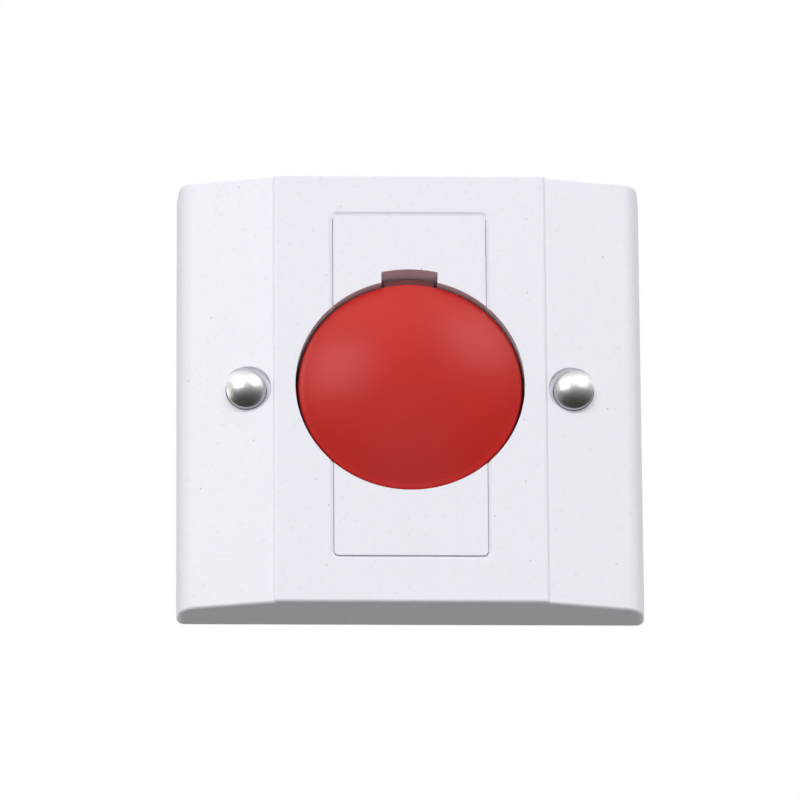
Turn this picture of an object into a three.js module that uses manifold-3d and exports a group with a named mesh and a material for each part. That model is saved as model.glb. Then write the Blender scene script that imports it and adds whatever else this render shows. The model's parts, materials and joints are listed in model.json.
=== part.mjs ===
// Emergency call unit: a square wall plate with a large round push button, its latching switch and wiring.
//
// Millimetres. Everything is drawn in the plate's own frame: x to the right, y up, z out of the wall towards
// the user, with z = 0 on the wall. The last lines turn that frame so that up is +Z and the front faces -Y.

import * as THREE from "three";
import { mergeVertices } from "three/addons/utils/BufferGeometryUtils.js";
import Module from "manifold-3d";

// Face plate
const PLATE_SIZE = 86; // side of the square plate
const PLATE_DEPTH = 11; // wall to the raised middle band
const PLATE_WALL = 2.2; // thickness of the moulded shell
const PLATE_CORNER = 1.5; // corner radius seen from the front
const BAND_WIDTH = 50.6; // raised band down the middle
const BAND_STEP = 0.6; // drop from the band to the wings
const BAND_EDGE = 0.3; // width of the step's sloped face
const WING_SLOPE = 10; // degrees that each wing falls away from the band
const SIDE_DRAFT = 0.75; // how far the sides lean in from the wall to the wings
const SIDE_FILLET = 3.8; // rounding between wing and side
const END_ROUND = 0.6; // rounding along the top and bottom edges
const LIP = 1.2; // thin rim of the plate round its window
const PLATE_RIB = 1.4; // ribs behind the wings
const PLATE_RIB_HEIGHT = 2;
const BOSS_WALL = 1.4; // round the screw bosses' holes

// Fixing to the wall box
const FIXING_CENTRES = 60.3; // between the two fixing screws
const COLUMN_DIAMETER = 10;
const COUNTERBORE_DIAMETER = 8;
const COUNTERBORE_FLOOR = 4.8; // height of the screw seat above the wall
const SPOT_DIAMETER = 9.2; // flat spot round the cap, level with the wing at its outer side
const FIXING_THREAD = 3.8;
const FIXING_HEAD = 6.8;
const FIXING_HEAD_HEIGHT = 2.2;
const FIXING_REACH = 16; // how far the screw goes into the wall
const CAP_DIAMETER = 7.4;
const CAP_DOME = 1.5; // height of the cap's dome above its rim
const CAP_WALL = 0.7;
const CAP_RIM = 9.6; // height of the cap's rim above the wall

// Label panel, flush in the plate's window
const PANEL_WIDTH = 28.2;
const PANEL_END = 8.9; // from the plate's top or bottom edge to the panel's end
const PANEL_CORNER = 0.9;
const PANEL_GROOVE = 0.8; // groove all round the panel
const GROOVE_DEPTH = 0.4; // rebate in the plate's rim that forms the groove
const PANEL_SKIN = 2; // thickness of the panel's face
const SHOULDER = 1.2; // how far the panel's shoulder reaches under the plate's lip
const AXIS_HEIGHT = 0.43; // button axis above the plate's centre

// Button housing
const BORE_DIAMETER = 42.3; // opening that the button slides in
const COLLAR_WALL = 2;
const FLOOR_LEVEL = -2; // inside floor of the housing
const FLOOR_THICKNESS = 2;
const FLANGE_MARGIN = 0.35; // flange's side beyond the collar
const FLANGE_END_ROOM = 2.3; // from the plate's inner wall to the flange's end
const FLANGE_TOP = 5.7;
const FLANGE_THICKNESS = 1.7;
const FLANGE_SCREW_INSET = [3.5, 5.5]; // screw places, in from the flange's side and end
const TUB_MARGIN = 1.85; // side of the box behind the wall line, beyond the collar
const BLADE_ROOM = 1.67; // between the tongue's blade and the box's inner wall
const TUB_CORNER = 4;
const TUB_WALL = 2;
const TUB_DEPTH = 20.7; // wall line to the tub's open back
const POST_INSET = 5; // board's screw posts, in from the inner walls
const POST_DIAMETER = 5.6;

// Push button
const BUTTON_GAP = 0.55; // play all round the button in its bore
const BUTTON_RECESS = 1.05; // rim below the plate's face
const DOME_HEIGHT = 4.7;
const BUTTON_EDGE = 0.5; // rounding of the rim
const BUTTON_SKIN = 2;
const SKIRT_WALL = 1.6;
const SKIRT_END = 2.5; // height of the skirt's end above the wall
const BUTTON_TRAVEL = 3;
const STEM_DIAMETER = 8;
const STEM_END = -6;
const STEM_GUIDE_WALL = 1.5;
const STEM_GUIDE_HEIGHT = 4;
const BUTTON_RIB = 1.4;
const RIB_END = 9; // height where the ribs stop and the spring seats
const LUG_WIDTH = 6; // retaining lugs on the skirt
const LUG_HEIGHT = 1.5;
const LUG_REACH = 1.7;

// Springs
const RETURN_COIL = 15; // mean diameter
const RETURN_WIRE = 1;
const RETURN_TURNS = 5;
const RESET_COIL = 4;
const RESET_WIRE = 0.5;
const RESET_TURNS = 7;
const CLOSED_PITCH = 1.2; // wire diameters from one closed end turn to the next
const RESET_PEG_DIAMETER = 2.4;
const RESET_PEG_LENGTH = 2.5;

// Reset tongue behind the notch
const NOTCH_WIDTH = 10.4;
const NOTCH_REACH = 2.05; // how far the notch cuts into the panel from the bore
const TONGUE_WIDTH = 9.3;
const TONGUE_DROP = 4; // tongue's face below the plate's face
const TONGUE_THICKNESS = 1.45;
const TONGUE_TRAVEL = 2;
const FOOT_WIDTH = 4.4;
const FOOT_THICKNESS = 2;
const CHANNEL_WALL = 2;
const RESET_SPRING_INSET = 7.2; // spring's place, in from the notch's back wall

// Latching switch
const SWITCH_WIDTH = 12;
const SWITCH_LENGTH = 17;
const SWITCH_SHIFT = 2.4; // switch centre above the button axis
const SWITCH_TOP = -9.9;
const SWITCH_HEIGHT = 6;
const SWITCH_CORNER = 0.5;
const PLUNGER_DIAMETER = 3.4;
const PLUNGER_LENGTH = 5;
const RELEASE_DIAMETER = 2.2;
const RELEASE_LENGTH = 4.4;
const RELEASE_OFFSET = 7; // release key above the button axis
const PIN_WIDTH = 0.9;
const PIN_THICKNESS = 0.6;
const PIN_LENGTH = 3.4;
const PIN_X = 4;
const PIN_Y = 6;

// Circuit board and what it carries
const BOARD_THICKNESS = 1.6;
const BOARD_MARGIN = 0.6; // between the board's edge and the tub
const CHIP_SIZE = [10, 6.2, 1.8];
const CHIP_PLACE = [-13, -4];
const CAPACITOR_DIAMETER = 6.3;
const CAPACITOR_HEIGHT = 7.7;
const CAPACITOR_PLACE = [13.5, -6];
const RESISTOR_DIAMETER = 2.3;
const RESISTOR_LENGTH = 6.3;
const RESISTOR_LEAD = 0.6;
const RESISTOR_SPAN = 10.2; // between its two bent leads
const RESISTOR_PLACES = [
  [-14, 7],
  [-14, 11.5],
];

// Wiring terminals at the back
const TERMINAL_WAYS = 3;
const TERMINAL_PITCH = 5.08;
const TERMINAL_DEPTH = 8.2;
const TERMINAL_HEIGHT = 10.6;
const TERMINAL_Y = -13;
const WIRE_HOLE = 3.2;
const WIRE_HOLE_DEPTH = 5.4;
const WIRE_HOLE_LIFT = 2; // from the block's back face to the hole's near side
const CLAMP_WALL = 0.4;
const TERMINAL_SCREW_HEAD = 3.2;
const TERMINAL_SCREW_HEIGHT = 1.2;

// Rear cover
const COVER_THICKNESS = 2;
const COVER_LIP = 1.4; // rim that locates the cover in the tub
const COVER_LIP_HEIGHT = 1.5;

// Small screws
const SCREW_THREAD = 2.2;
const SCREW_HEAD = 4.4;
const SCREW_HEAD_HEIGHT = 1.6;
const FLANGE_SCREW_LENGTH = 4.4;
const COVER_SCREW_LENGTH = 12.5;
const SLOT_WIDTH = 0.8;
const SLOT_DEPTH = 0.7;

// Clearances
const GAP = 0.3; // between pieces that rest on or slide in each other
const PILOT_GAP = 0.3; // between a screw's thread and its hole
const CUT = 1; // how far a cutting shape runs past the face it opens
const SINK = 1; // how far a joined shape runs into the piece that carries it

// Smoothness of round shapes
const FINE = 56;
const MEDIUM = 24;
const COARSE = 16;
const SMALL = 12;

const wasm = await Module();
wasm.setup();

const half = (size) => size / 2;
const radians = THREE.MathUtils.degToRad;

// Heights that follow from the driving dimensions
const rimLevel = PLATE_DEPTH - BUTTON_RECESS;
const lipLevel = PLATE_DEPTH - LIP;
const innerLevel = PLATE_DEPTH - PLATE_WALL;
const shoulderLevel = lipLevel - GAP;
const flangeBottom = FLANGE_TOP - FLANGE_THICKNESS;
const floorBottom = FLOOR_LEVEL - FLOOR_THICKNESS;
const switchBottom = SWITCH_TOP - SWITCH_HEIGHT;
const boardTop = switchBottom - GAP;
const boardBottom = boardTop - BOARD_THICKNESS;
const postEnd = boardTop + GAP;
const coverTop = -TUB_DEPTH - GAP;
const coverBottom = coverTop - COVER_THICKNESS;
const boreRadius = half(BORE_DIAMETER);
const collarRadius = boreRadius + COLLAR_WALL;
const notchRadius = boreRadius + NOTCH_REACH;
const skirtRadius = boreRadius - BUTTON_GAP;
const resetSpringY = AXIS_HEIGHT + notchRadius - RESET_SPRING_INSET;
const panelHeight = PLATE_SIZE - 2 * PANEL_END;
const flangeWidth = 2 * (collarRadius + FLANGE_MARGIN);
const flangeHeight = PLATE_SIZE - 2 * (PLATE_WALL + FLANGE_END_ROOM);
const tubWidth = 2 * (collarRadius + TUB_MARGIN);
const tubHeight = 2 * (AXIS_HEIGHT + notchRadius - GAP + BLADE_ROOM + TUB_WALL);
const tongueFace = PLATE_DEPTH - TONGUE_DROP;
const footTop = floorBottom - GAP;
const footBottom = footTop - FOOT_THICKNESS;

// Solids and booleans

// A closed geometry as a solid that can be joined and cut.
function solidOf(geometry) {
  const bare = geometry.clone();
  bare.deleteAttribute("normal");
  bare.deleteAttribute("uv");
  const merged = mergeVertices(bare, 1e-4);
  return new wasm.Manifold(
    new wasm.Mesh({
      numProp: 3,
      vertProperties: merged.attributes.position.array,
      triVerts: new Uint32Array(merged.index.array),
    }),
  );
}

// A solid back as a geometry for a mesh.
function geometryOf(solid) {
  const mesh = solid.getMesh();
  const geometry = new THREE.BufferGeometry();
  geometry.setAttribute("position", new THREE.BufferAttribute(mesh.vertProperties, mesh.numProp));
  geometry.setIndex(new THREE.BufferAttribute(mesh.triVerts, 1));
  const facets = geometry.toNonIndexed();
  facets.computeVertexNormals();
  return facets;
}

const join = (first, ...rest) => rest.reduce((whole, piece) => whole.add(piece), first);
const cut = (first, ...rest) => rest.reduce((whole, piece) => whole.subtract(piece), first);

// Outline points with each corner [x, y, radius] rounded by an arc.
function rounded(corners, steps = 4) {
  const points = [];
  corners.forEach(([x, y, radius = 0], i) => {
    const corner = new THREE.Vector2(x, y);
    if (!radius) {
      points.push(corner);
      return;
    }
    const before = corners[(i + corners.length - 1) % corners.length];
    const after = corners[(i + 1) % corners.length];
    const back = new THREE.Vector2(before[0], before[1]).sub(corner).normalize();
    const ahead = new THREE.Vector2(after[0], after[1]).sub(corner).normalize();
    const halfAngle = Math.acos(THREE.MathUtils.clamp(back.dot(ahead), -1, 1)) / 2;
    const middle = back.clone().add(ahead).normalize();
    const centre = corner.clone().addScaledVector(middle, radius / Math.sin(halfAngle));
    const start = corner.clone().addScaledVector(back, radius / Math.tan(halfAngle)).sub(centre);
    const turn = Math.sign(back.cross(ahead)) * -(Math.PI - 2 * halfAngle);
    for (let step = 0; step <= steps; step += 1) {
      const spoke = start.clone().rotateAround(new THREE.Vector2(), (turn * step) / steps);
      points.push(centre.clone().add(spoke));
    }
  });
  return points;
}

// A straight prism over an outline, from one height to another.
function prism(points, low, high) {
  const geometry = new THREE.ExtrudeGeometry(new THREE.Shape(points), {
    depth: high - low,
    bevelEnabled: false,
  });
  return solidOf(geometry.translate(0, 0, low));
}

function block(width, height, low, high, x = 0, y = 0) {
  return solidOf(new THREE.BoxGeometry(width, height, high - low).translate(x, y, (low + high) / 2));
}

function disc(diameter, low, high, x = 0, y = 0, segments = MEDIUM) {
  const geometry = new THREE.CylinderGeometry(half(diameter), half(diameter), high - low, segments);
  return solidOf(geometry.rotateX(Math.PI / 2).translate(x, y, (low + high) / 2));
}

// A ring whose inner wall starts at one diameter and ends at another.
function ring(outer, inner, low, high, x = 0, y = 0, segments = MEDIUM) {
  return cut(disc(outer, low, high, x, y, segments), disc(inner, low - CUT, high + CUT, x, y, segments));
}

// A solid of revolution about z; the profile runs from [radius, z] on the axis back to the axis.
function turned(profile, segments = MEDIUM) {
  const points = profile.map(([radius, z]) => new THREE.Vector2(radius, z));
  return solidOf(new THREE.LatheGeometry(points, segments).rotateX(Math.PI / 2));
}

// Outline of a rounded rectangle about [0, y].
function rectangle(width, height, radius, y = 0) {
  return rounded([
    [-half(width), y - half(height), radius],
    [half(width), y - half(height), radius],
    [half(width), y + half(height), radius],
    [-half(width), y + half(height), radius],
  ]);
}

// Points [radius, z] of a dome of the given rise over its base radius, taken a depth under its surface
// and ending at a wall radius. They run from the axis outwards.
function domeArc(baseRadius, baseLevel, rise, steps, depth = 0, wallRadius = baseRadius) {
  const sphere = (baseRadius ** 2 + rise ** 2) / (2 * rise);
  const centre = baseLevel + rise - sphere;
  const widest = Math.asin(wallRadius / (sphere - depth));
  return Array.from({ length: steps + 1 }, (_, i) => {
    const angle = (widest * i) / steps;
    return [(sphere - depth) * Math.sin(angle), centre + (sphere - depth) * Math.cos(angle)];
  });
}

// Centre line of a compression spring along z: open turns between two closed end turns.
class SpringLine extends THREE.Curve {
  constructor(radius, length, turns, closedPitch) {
    super();
    Object.assign(this, { radius, length, turns, closedPitch });
  }
  getPoint(t, target = new THREE.Vector3()) {
    const done = t * this.turns;
    const angle = done * 2 * Math.PI;
    const openPitch = (this.length - 2 * this.closedPitch) / (this.turns - 2);
    const height =
      this.closedPitch * Math.min(done, 1) +
      openPitch * THREE.MathUtils.clamp(done - 1, 0, this.turns - 2) +
      this.closedPitch * Math.max(done - this.turns + 1, 0);
    return target.set(this.radius * Math.cos(angle), this.radius * Math.sin(angle), height);
  }
}

function coilSpring(coil, wire, turns, low, high, sides, stepsPerTurn) {
  const path = new SpringLine(half(coil), high - low - wire, turns, wire * CLOSED_PITCH);
  const section = new THREE.Shape(
    Array.from({ length: sides }, (_, i) => {
      const angle = (2 * Math.PI * i) / sides;
      return new THREE.Vector2(half(wire) * Math.cos(angle), half(wire) * Math.sin(angle));
    }),
  );
  const geometry = new THREE.ExtrudeGeometry(section, {
    steps: turns * stepsPerTurn,
    extrudePath: path,
    bevelEnabled: false,
  });
  return solidOf(geometry.translate(0, 0, low + half(wire)));
}

// Face plate

// Height of a wing's surface at a distance from the middle.
const wingLevel = (x) =>
  PLATE_DEPTH - BAND_STEP - Math.tan(radians(WING_SLOPE)) * (Math.abs(x) - half(BAND_WIDTH));

// Cross-section of the plate: band, steps, sloped wings and leaning sides, mirrored about the middle.
function plateSection() {
  const foot = half(PLATE_SIZE);
  const shoulder = foot - SIDE_DRAFT;
  const below = -CUT;
  const right = [
    [foot, below, 0],
    [foot, 0, 0],
    [shoulder, wingLevel(shoulder), SIDE_FILLET],
    [half(BAND_WIDTH) + BAND_EDGE, wingLevel(half(BAND_WIDTH) + BAND_EDGE), 0],
    [half(BAND_WIDTH), PLATE_DEPTH, 0],
  ];
  const left = right.map(([x, z, radius]) => [-x, z, radius]).reverse();
  return rounded([...right, ...left], 7);
}

// The same section one wall thickness in.
function cavitySection() {
  const foot = half(PLATE_SIZE) - PLATE_WALL;
  const shoulder = foot - SIDE_DRAFT;
  const right = [
    [foot, -CUT],
    [foot, 0],
    [shoulder, wingLevel(shoulder) - PLATE_WALL],
    [half(BAND_WIDTH), wingLevel(half(BAND_WIDTH)) - PLATE_WALL],
    [half(BAND_WIDTH) - BAND_STEP, innerLevel],
  ];
  const left = right.map(([x, z]) => [-x, z]).reverse();
  return rounded([...right, ...left]);
}

// A section drawn in x and z, run along y with rounded ends.
function runAlongY(points, length, round) {
  const geometry = new THREE.ExtrudeGeometry(new THREE.Shape(points), {
    depth: length - 2 * round,
    bevelEnabled: round > 0,
    bevelThickness: round,
    bevelSize: round,
    bevelOffset: -round,
    bevelSegments: 3,
  });
  return solidOf(geometry.translate(0, 0, round - half(length)).rotateX(Math.PI / 2));
}

// Outline of the label panel, grown by a margin.
function panelOutline(margin = 0) {
  const corner = PANEL_CORNER + Math.max(margin, 0);
  return rectangle(PANEL_WIDTH + 2 * margin, panelHeight + 2 * margin, corner, AXIS_HEIGHT);
}

// The grown panel joined to a round opening.
function windowShape(margin, opening, low, high) {
  return join(prism(panelOutline(margin), low, high), disc(opening, low, high, 0, AXIS_HEIGHT, FINE));
}

// Four places, one near each corner of a rectangle.
const cornerPlaces = (x, y) => [-1, 1].flatMap((sx) => [-1, 1].map((sy) => [sx * x, sy * y]));

const flangeScrewPlaces = cornerPlaces(
  half(flangeWidth) - FLANGE_SCREW_INSET[0],
  half(flangeHeight) - FLANGE_SCREW_INSET[1],
);

function facePlate() {
  const plan = rectangle(PLATE_SIZE, PLATE_SIZE, PLATE_CORNER);
  const innerSize = PLATE_SIZE - 2 * PLATE_WALL;
  const shell = cut(
    runAlongY(plateSection(), PLATE_SIZE, END_ROUND).intersect(prism(plan, 0, PLATE_DEPTH + CUT)),
    runAlongY(cavitySection(), innerSize, 0),
  );
  const columns = [-1, 1].map((side) =>
    disc(COLUMN_DIAMETER, 0, wingLevel(half(FIXING_CENTRES)) - SINK, (side * FIXING_CENTRES) / 2, 0),
  );
  const bossEnd = FLANGE_TOP + GAP;
  const bossDiameter = SCREW_THREAD + 2 * (PILOT_GAP + BOSS_WALL);
  const bosses = flangeScrewPlaces.map(([x, y]) =>
    disc(bossDiameter, bossEnd, innerLevel + half(PLATE_WALL), x, y, COARSE),
  );
  // Stiffening ribs from each column to the end walls
  const ribTop = wingLevel(half(FIXING_CENTRES)) - PLATE_WALL + SINK;
  const ribs = [-1, 1].flatMap((side) =>
    [-1, 1].map((end) =>
      block(
        PLATE_RIB,
        half(innerSize) - half(COLUMN_DIAMETER) + 2 * SINK,
        ribTop - SINK - PLATE_RIB_HEIGHT,
        ribTop,
        (side * FIXING_CENTRES) / 2,
        (end * (half(innerSize) + half(COLUMN_DIAMETER))) / 2,
      ),
    ),
  );
  const solid = join(shell, ...columns, ...bosses, ...ribs);
  const pilotDiameter = SCREW_THREAD + 2 * PILOT_GAP;
  return cut(
    solid,
    windowShape(GAP, BORE_DIAMETER, 0, PLATE_DEPTH + CUT),
    prism(panelOutline(PANEL_GROOVE), PLATE_DEPTH - GROOVE_DEPTH, PLATE_DEPTH + CUT),
    windowShape(PANEL_GROOVE + SHOULDER + GAP, 2 * (collarRadius + GAP), 0, lipLevel),
    ...[-1, 1].flatMap((side) => {
      const x = (side * FIXING_CENTRES) / 2;
      const spotLevel = wingLevel(half(FIXING_CENTRES) + half(CAP_DIAMETER));
      return [
        disc(SPOT_DIAMETER, spotLevel, PLATE_DEPTH + CUT, x, 0, COARSE * 2),
        disc(COUNTERBORE_DIAMETER, COUNTERBORE_FLOOR, PLATE_DEPTH + CUT, x, 0, COARSE * 2),
        disc(FIXING_THREAD + 2 * PILOT_GAP, -CUT, PLATE_DEPTH, x, 0, COARSE),
      ];
    }),
    ...flangeScrewPlaces.map(([x, y]) =>
      disc(pilotDiameter, bossEnd - CUT, bossEnd + FLANGE_SCREW_LENGTH - FLANGE_THICKNESS, x, y, COARSE),
    ),
  );
}

// Button housing with the label panel

const postPlaces = cornerPlaces(
  half(tubWidth) - TUB_WALL - POST_INSET,
  half(tubHeight) - TUB_WALL - POST_INSET,
);

// A slice of a ring between two diameters, as wide as the notch, about the button axis.
function ringSlice(outer, inner, width, low, high) {
  const slice = ring(outer, inner, low, high, 0, AXIS_HEIGHT, FINE);
  return slice.intersect(block(width, half(outer), low - CUT, high + CUT, 0, AXIS_HEIGHT + half(outer)));
}

function buttonHousing() {
  const flange = prism(rectangle(flangeWidth, flangeHeight, PANEL_CORNER * 2), flangeBottom, FLANGE_TOP);
  const front = join(
    flange,
    prism(panelOutline(), flangeBottom, PLATE_DEPTH),
    prism(panelOutline(PANEL_GROOVE + SHOULDER), flangeBottom, shoulderLevel),
  );
  const collar = disc(2 * collarRadius, floorBottom, shoulderLevel, 0, AXIS_HEIGHT, FINE);
  const channelTop = notchRadius + CHANNEL_WALL;
  const channel = block(
    NOTCH_WIDTH + 2 * CHANNEL_WALL,
    half(channelTop),
    floorBottom,
    PLATE_DEPTH - PANEL_SKIN + half(PANEL_SKIN),
    0,
    AXIS_HEIGHT + channelTop - half(half(channelTop)),
  );
  const pocket = cut(
    prism(panelOutline(-COLLAR_WALL), flangeBottom - CUT, PLATE_DEPTH - PANEL_SKIN),
    disc(2 * collarRadius, flangeBottom - 2 * CUT, PLATE_DEPTH, 0, AXIS_HEIGHT, FINE),
    channel,
  );
  const tubOutline = rectangle(tubWidth, tubHeight, TUB_CORNER);
  const tubInside = rectangle(tubWidth - 2 * TUB_WALL, tubHeight - 2 * TUB_WALL, TUB_CORNER - TUB_WALL);
  const tub = cut(
    prism(tubOutline, -TUB_DEPTH, FLOOR_LEVEL),
    prism(tubInside, -TUB_DEPTH - CUT, floorBottom),
  );
  const posts = postPlaces.map(([x, y]) => disc(POST_DIAMETER, postEnd, floorBottom + CUT, x, y, COARSE));
  const guideDiameter = STEM_DIAMETER + 2 * GAP;
  const guide = disc(
    guideDiameter + 2 * STEM_GUIDE_WALL,
    floorBottom,
    FLOOR_LEVEL + STEM_GUIDE_HEIGHT,
    0,
    AXIS_HEIGHT,
  );
  const bore = disc(BORE_DIAMETER, FLOOR_LEVEL, PLATE_DEPTH + CUT, 0, AXIS_HEIGHT, FINE);
  const outside = join(cut(front, pocket), collar, channel, tub, ...posts);
  // Windows in the collar where the button's lugs travel
  const lugLow = SKIRT_END - BUTTON_TRAVEL - 2 * GAP;
  const lugHigh = SKIRT_END + LUG_HEIGHT + GAP;
  const lugRoom = LUG_WIDTH + 4 * GAP;
  const acrossWindows = block(2 * collarRadius + CUT, lugRoom, lugLow, lugHigh, 0, AXIS_HEIGHT);
  const lowerWindow = block(
    lugRoom,
    boreRadius + half(CUT),
    lugLow,
    lugHigh,
    0,
    AXIS_HEIGHT - collarRadius + half(boreRadius),
  );
  const pilotDiameter = SCREW_THREAD + 2 * PILOT_GAP;
  return cut(
    join(cut(outside, bore), guide),
    disc(guideDiameter, floorBottom - CUT, FLOOR_LEVEL + STEM_GUIDE_HEIGHT + CUT, 0, AXIS_HEIGHT),
    cut(
      join(acrossWindows, lowerWindow),
      disc(BORE_DIAMETER - CUT, lugLow - CUT, lugHigh + CUT, 0, AXIS_HEIGHT),
    ),
    ringSlice(2 * notchRadius, BORE_DIAMETER - CUT, NOTCH_WIDTH, floorBottom - CUT, PLATE_DEPTH + CUT),
    ...flangeScrewPlaces.map(([x, y]) =>
      disc(pilotDiameter, flangeBottom - CUT, FLANGE_TOP + CUT, x, y, COARSE),
    ),
    ...postPlaces.map(([x, y]) =>
      disc(pilotDiameter, postEnd - CUT, coverBottom + COVER_SCREW_LENGTH + CUT, x, y, COARSE),
    ),
  );
}

// Push button: a shallow dome on a skirt, a stem with ribs under it and three retaining lugs.
function pushButton() {
  const innerRadius = skirtRadius - SKIRT_WALL;
  const stemRadius = half(STEM_DIAMETER);
  const domeAt = (steps, depth, wallRadius) =>
    domeArc(skirtRadius - BUTTON_EDGE / 2, rimLevel, DOME_HEIGHT, steps, depth, wallRadius);
  const inside = domeAt(6, BUTTON_SKIN, innerRadius).filter(([radius]) => radius > stemRadius);
  const shell = turned(
    [
      [0, STEM_END],
      [stemRadius, STEM_END],
      [stemRadius, inside[0][1]],
      ...inside,
      [innerRadius, SKIRT_END],
      [skirtRadius, SKIRT_END],
      [skirtRadius, rimLevel - BUTTON_EDGE],
      ...domeAt(9, 0).reverse(),
    ],
    FINE,
  );
  const middle = domeAt(4, half(BUTTON_SKIN), innerRadius + half(SKIRT_WALL)).reverse();
  const filling = turned([[0, RIB_END], [innerRadius + half(SKIRT_WALL), RIB_END], ...middle], MEDIUM);
  const ribs = join(
    block(2 * skirtRadius, BUTTON_RIB, RIB_END, PLATE_DEPTH + DOME_HEIGHT),
    block(BUTTON_RIB, 2 * skirtRadius, RIB_END, PLATE_DEPTH + DOME_HEIGHT),
  ).intersect(filling);
  const lugLevel = SKIRT_END + LUG_HEIGHT;
  const lugEnd = skirtRadius + LUG_REACH;
  const lugs = cut(
    join(
      block(2 * lugEnd, LUG_WIDTH, SKIRT_END, lugLevel),
      block(LUG_WIDTH, lugEnd, SKIRT_END, lugLevel, 0, -half(lugEnd)),
    ),
    disc(2 * innerRadius + SKIRT_WALL, SKIRT_END - CUT, lugLevel + CUT),
  );
  return join(shell, ribs, lugs);
}

// Reset tongue: a blade in the housing's channel and a foot that reaches in to the switch's release key.
function resetTongue() {
  const outer = 2 * (notchRadius - GAP);
  const blade = ringSlice(outer, outer - 2 * TONGUE_THICKNESS, TONGUE_WIDTH, footBottom, tongueFace);
  const footStart = RELEASE_OFFSET - half(RELEASE_DIAMETER);
  const footEnd = half(outer) - half(TONGUE_THICKNESS);
  const foot = block(
    FOOT_WIDTH,
    footEnd - footStart,
    footBottom,
    footTop,
    0,
    AXIS_HEIGHT + (footEnd + footStart) / 2,
  );
  const peg = disc(
    RESET_PEG_DIAMETER,
    footBottom - RESET_PEG_LENGTH,
    footTop,
    0,
    resetSpringY,
    COARSE,
  );
  return join(blade, foot, peg);
}

// Latching switch with blind holes for its two keys
const switchY = AXIS_HEIGHT + SWITCH_SHIFT;
const plungerTop = STEM_END - GAP;
const releaseTop = footBottom - GAP;

function switchBody() {
  const outline = rectangle(SWITCH_WIDTH, SWITCH_LENGTH, SWITCH_CORNER, switchY);
  const plungerRoom = plungerTop - PLUNGER_LENGTH - BUTTON_TRAVEL - GAP;
  const releaseRoom = releaseTop - RELEASE_LENGTH - TONGUE_TRAVEL - GAP;
  return cut(
    prism(outline, switchBottom, SWITCH_TOP),
    disc(PLUNGER_DIAMETER + 2 * GAP, plungerRoom, 0, 0, AXIS_HEIGHT, COARSE),
    disc(RELEASE_DIAMETER + 2 * GAP, releaseRoom, 0, 0, AXIS_HEIGHT + RELEASE_OFFSET, COARSE),
  );
}

// A round key with a chamfered end, hanging down from its top at z = 0.
function roundKey(diameter, length) {
  const edge = diameter / 8;
  return turned(
    [
      [0, -length],
      [half(diameter), -length],
      [half(diameter), -edge],
      [half(diameter) - edge, 0],
      [0, 0],
    ],
    COARSE,
  );
}

// Circuit board with holes for its screws and for the switch's pins
const pinPlaces = cornerPlaces(PIN_X, PIN_Y).map(([x, y]) => [x, switchY + y]);

function circuitBoard() {
  const outline = rectangle(
    tubWidth - 2 * (TUB_WALL + BOARD_MARGIN),
    tubHeight - 2 * (TUB_WALL + BOARD_MARGIN),
    TUB_CORNER - TUB_WALL,
  );
  const pinHole = Math.hypot(PIN_WIDTH, PIN_THICKNESS) + 2 * GAP;
  const leadHole = RESISTOR_LEAD + 2 * GAP;
  return cut(
    prism(outline, boardBottom, boardTop),
    ...postPlaces.map(([x, y]) =>
      disc(SCREW_THREAD + 2 * PILOT_GAP, boardBottom - CUT, boardTop + CUT, x, y, COARSE),
    ),
    ...pinPlaces.map(([x, y]) => disc(pinHole, boardBottom - CUT, boardTop + CUT, x, y, 12)),
    ...RESISTOR_PLACES.flatMap(([x, y]) =>
      [-1, 1].map((side) =>
        disc(leadHole, boardBottom - CUT, boardTop + CUT, x + (side * RESISTOR_SPAN) / 2, y, 12),
      ),
    ),
  );
}

// Resistor lying along x at the origin's height, with both leads bent down through the board.
function resistor() {
  const barrelHeight = boardTop + GAP + half(RESISTOR_DIAMETER);
  const along = (diameter, length, segments) =>
    solidOf(
      new THREE.CylinderGeometry(half(diameter), half(diameter), length, segments)
        .rotateZ(Math.PI / 2)
        .translate(0, 0, barrelHeight),
    );
  const bands = [-1, 1].map((side) =>
    along(RESISTOR_DIAMETER * 1.15, RESISTOR_LENGTH / 5, 16).translate([side * RESISTOR_LENGTH * 0.4, 0, 0]),
  );
  const legs = [-1, 1].map((side) =>
    disc(RESISTOR_LEAD, boardBottom - CUT, barrelHeight, (side * RESISTOR_SPAN) / 2, 0, 8),
  );
  return join(
    along(RESISTOR_DIAMETER, RESISTOR_LENGTH, 16),
    ...bands,
    along(RESISTOR_LEAD, RESISTOR_SPAN + RESISTOR_LEAD, 8),
    ...legs,
  );
}

// Capacitor can with a rolled-in groove near its foot
function capacitor() {
  const radius = half(CAPACITOR_DIAMETER);
  const groove = CAPACITOR_HEIGHT / 5;
  return turned(
    [
      [0, 0],
      [radius, 0],
      [radius, groove],
      [radius * 0.92, groove * 1.3],
      [radius, groove * 1.6],
      [radius, CAPACITOR_HEIGHT - GAP],
      [radius - GAP, CAPACITOR_HEIGHT],
      [0, CAPACITOR_HEIGHT],
    ],
    COARSE,
  );
}

// Terminals
const terminalTop = boardBottom - GAP;
const terminalBottom = terminalTop - TERMINAL_HEIGHT;
const terminalFront = TERMINAL_Y - half(TERMINAL_DEPTH);
const terminalX = (way) => (way - (TERMINAL_WAYS - 1) / 2) * TERMINAL_PITCH;
const wireHoleLow = terminalBottom + WIRE_HOLE_LIFT;

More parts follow.
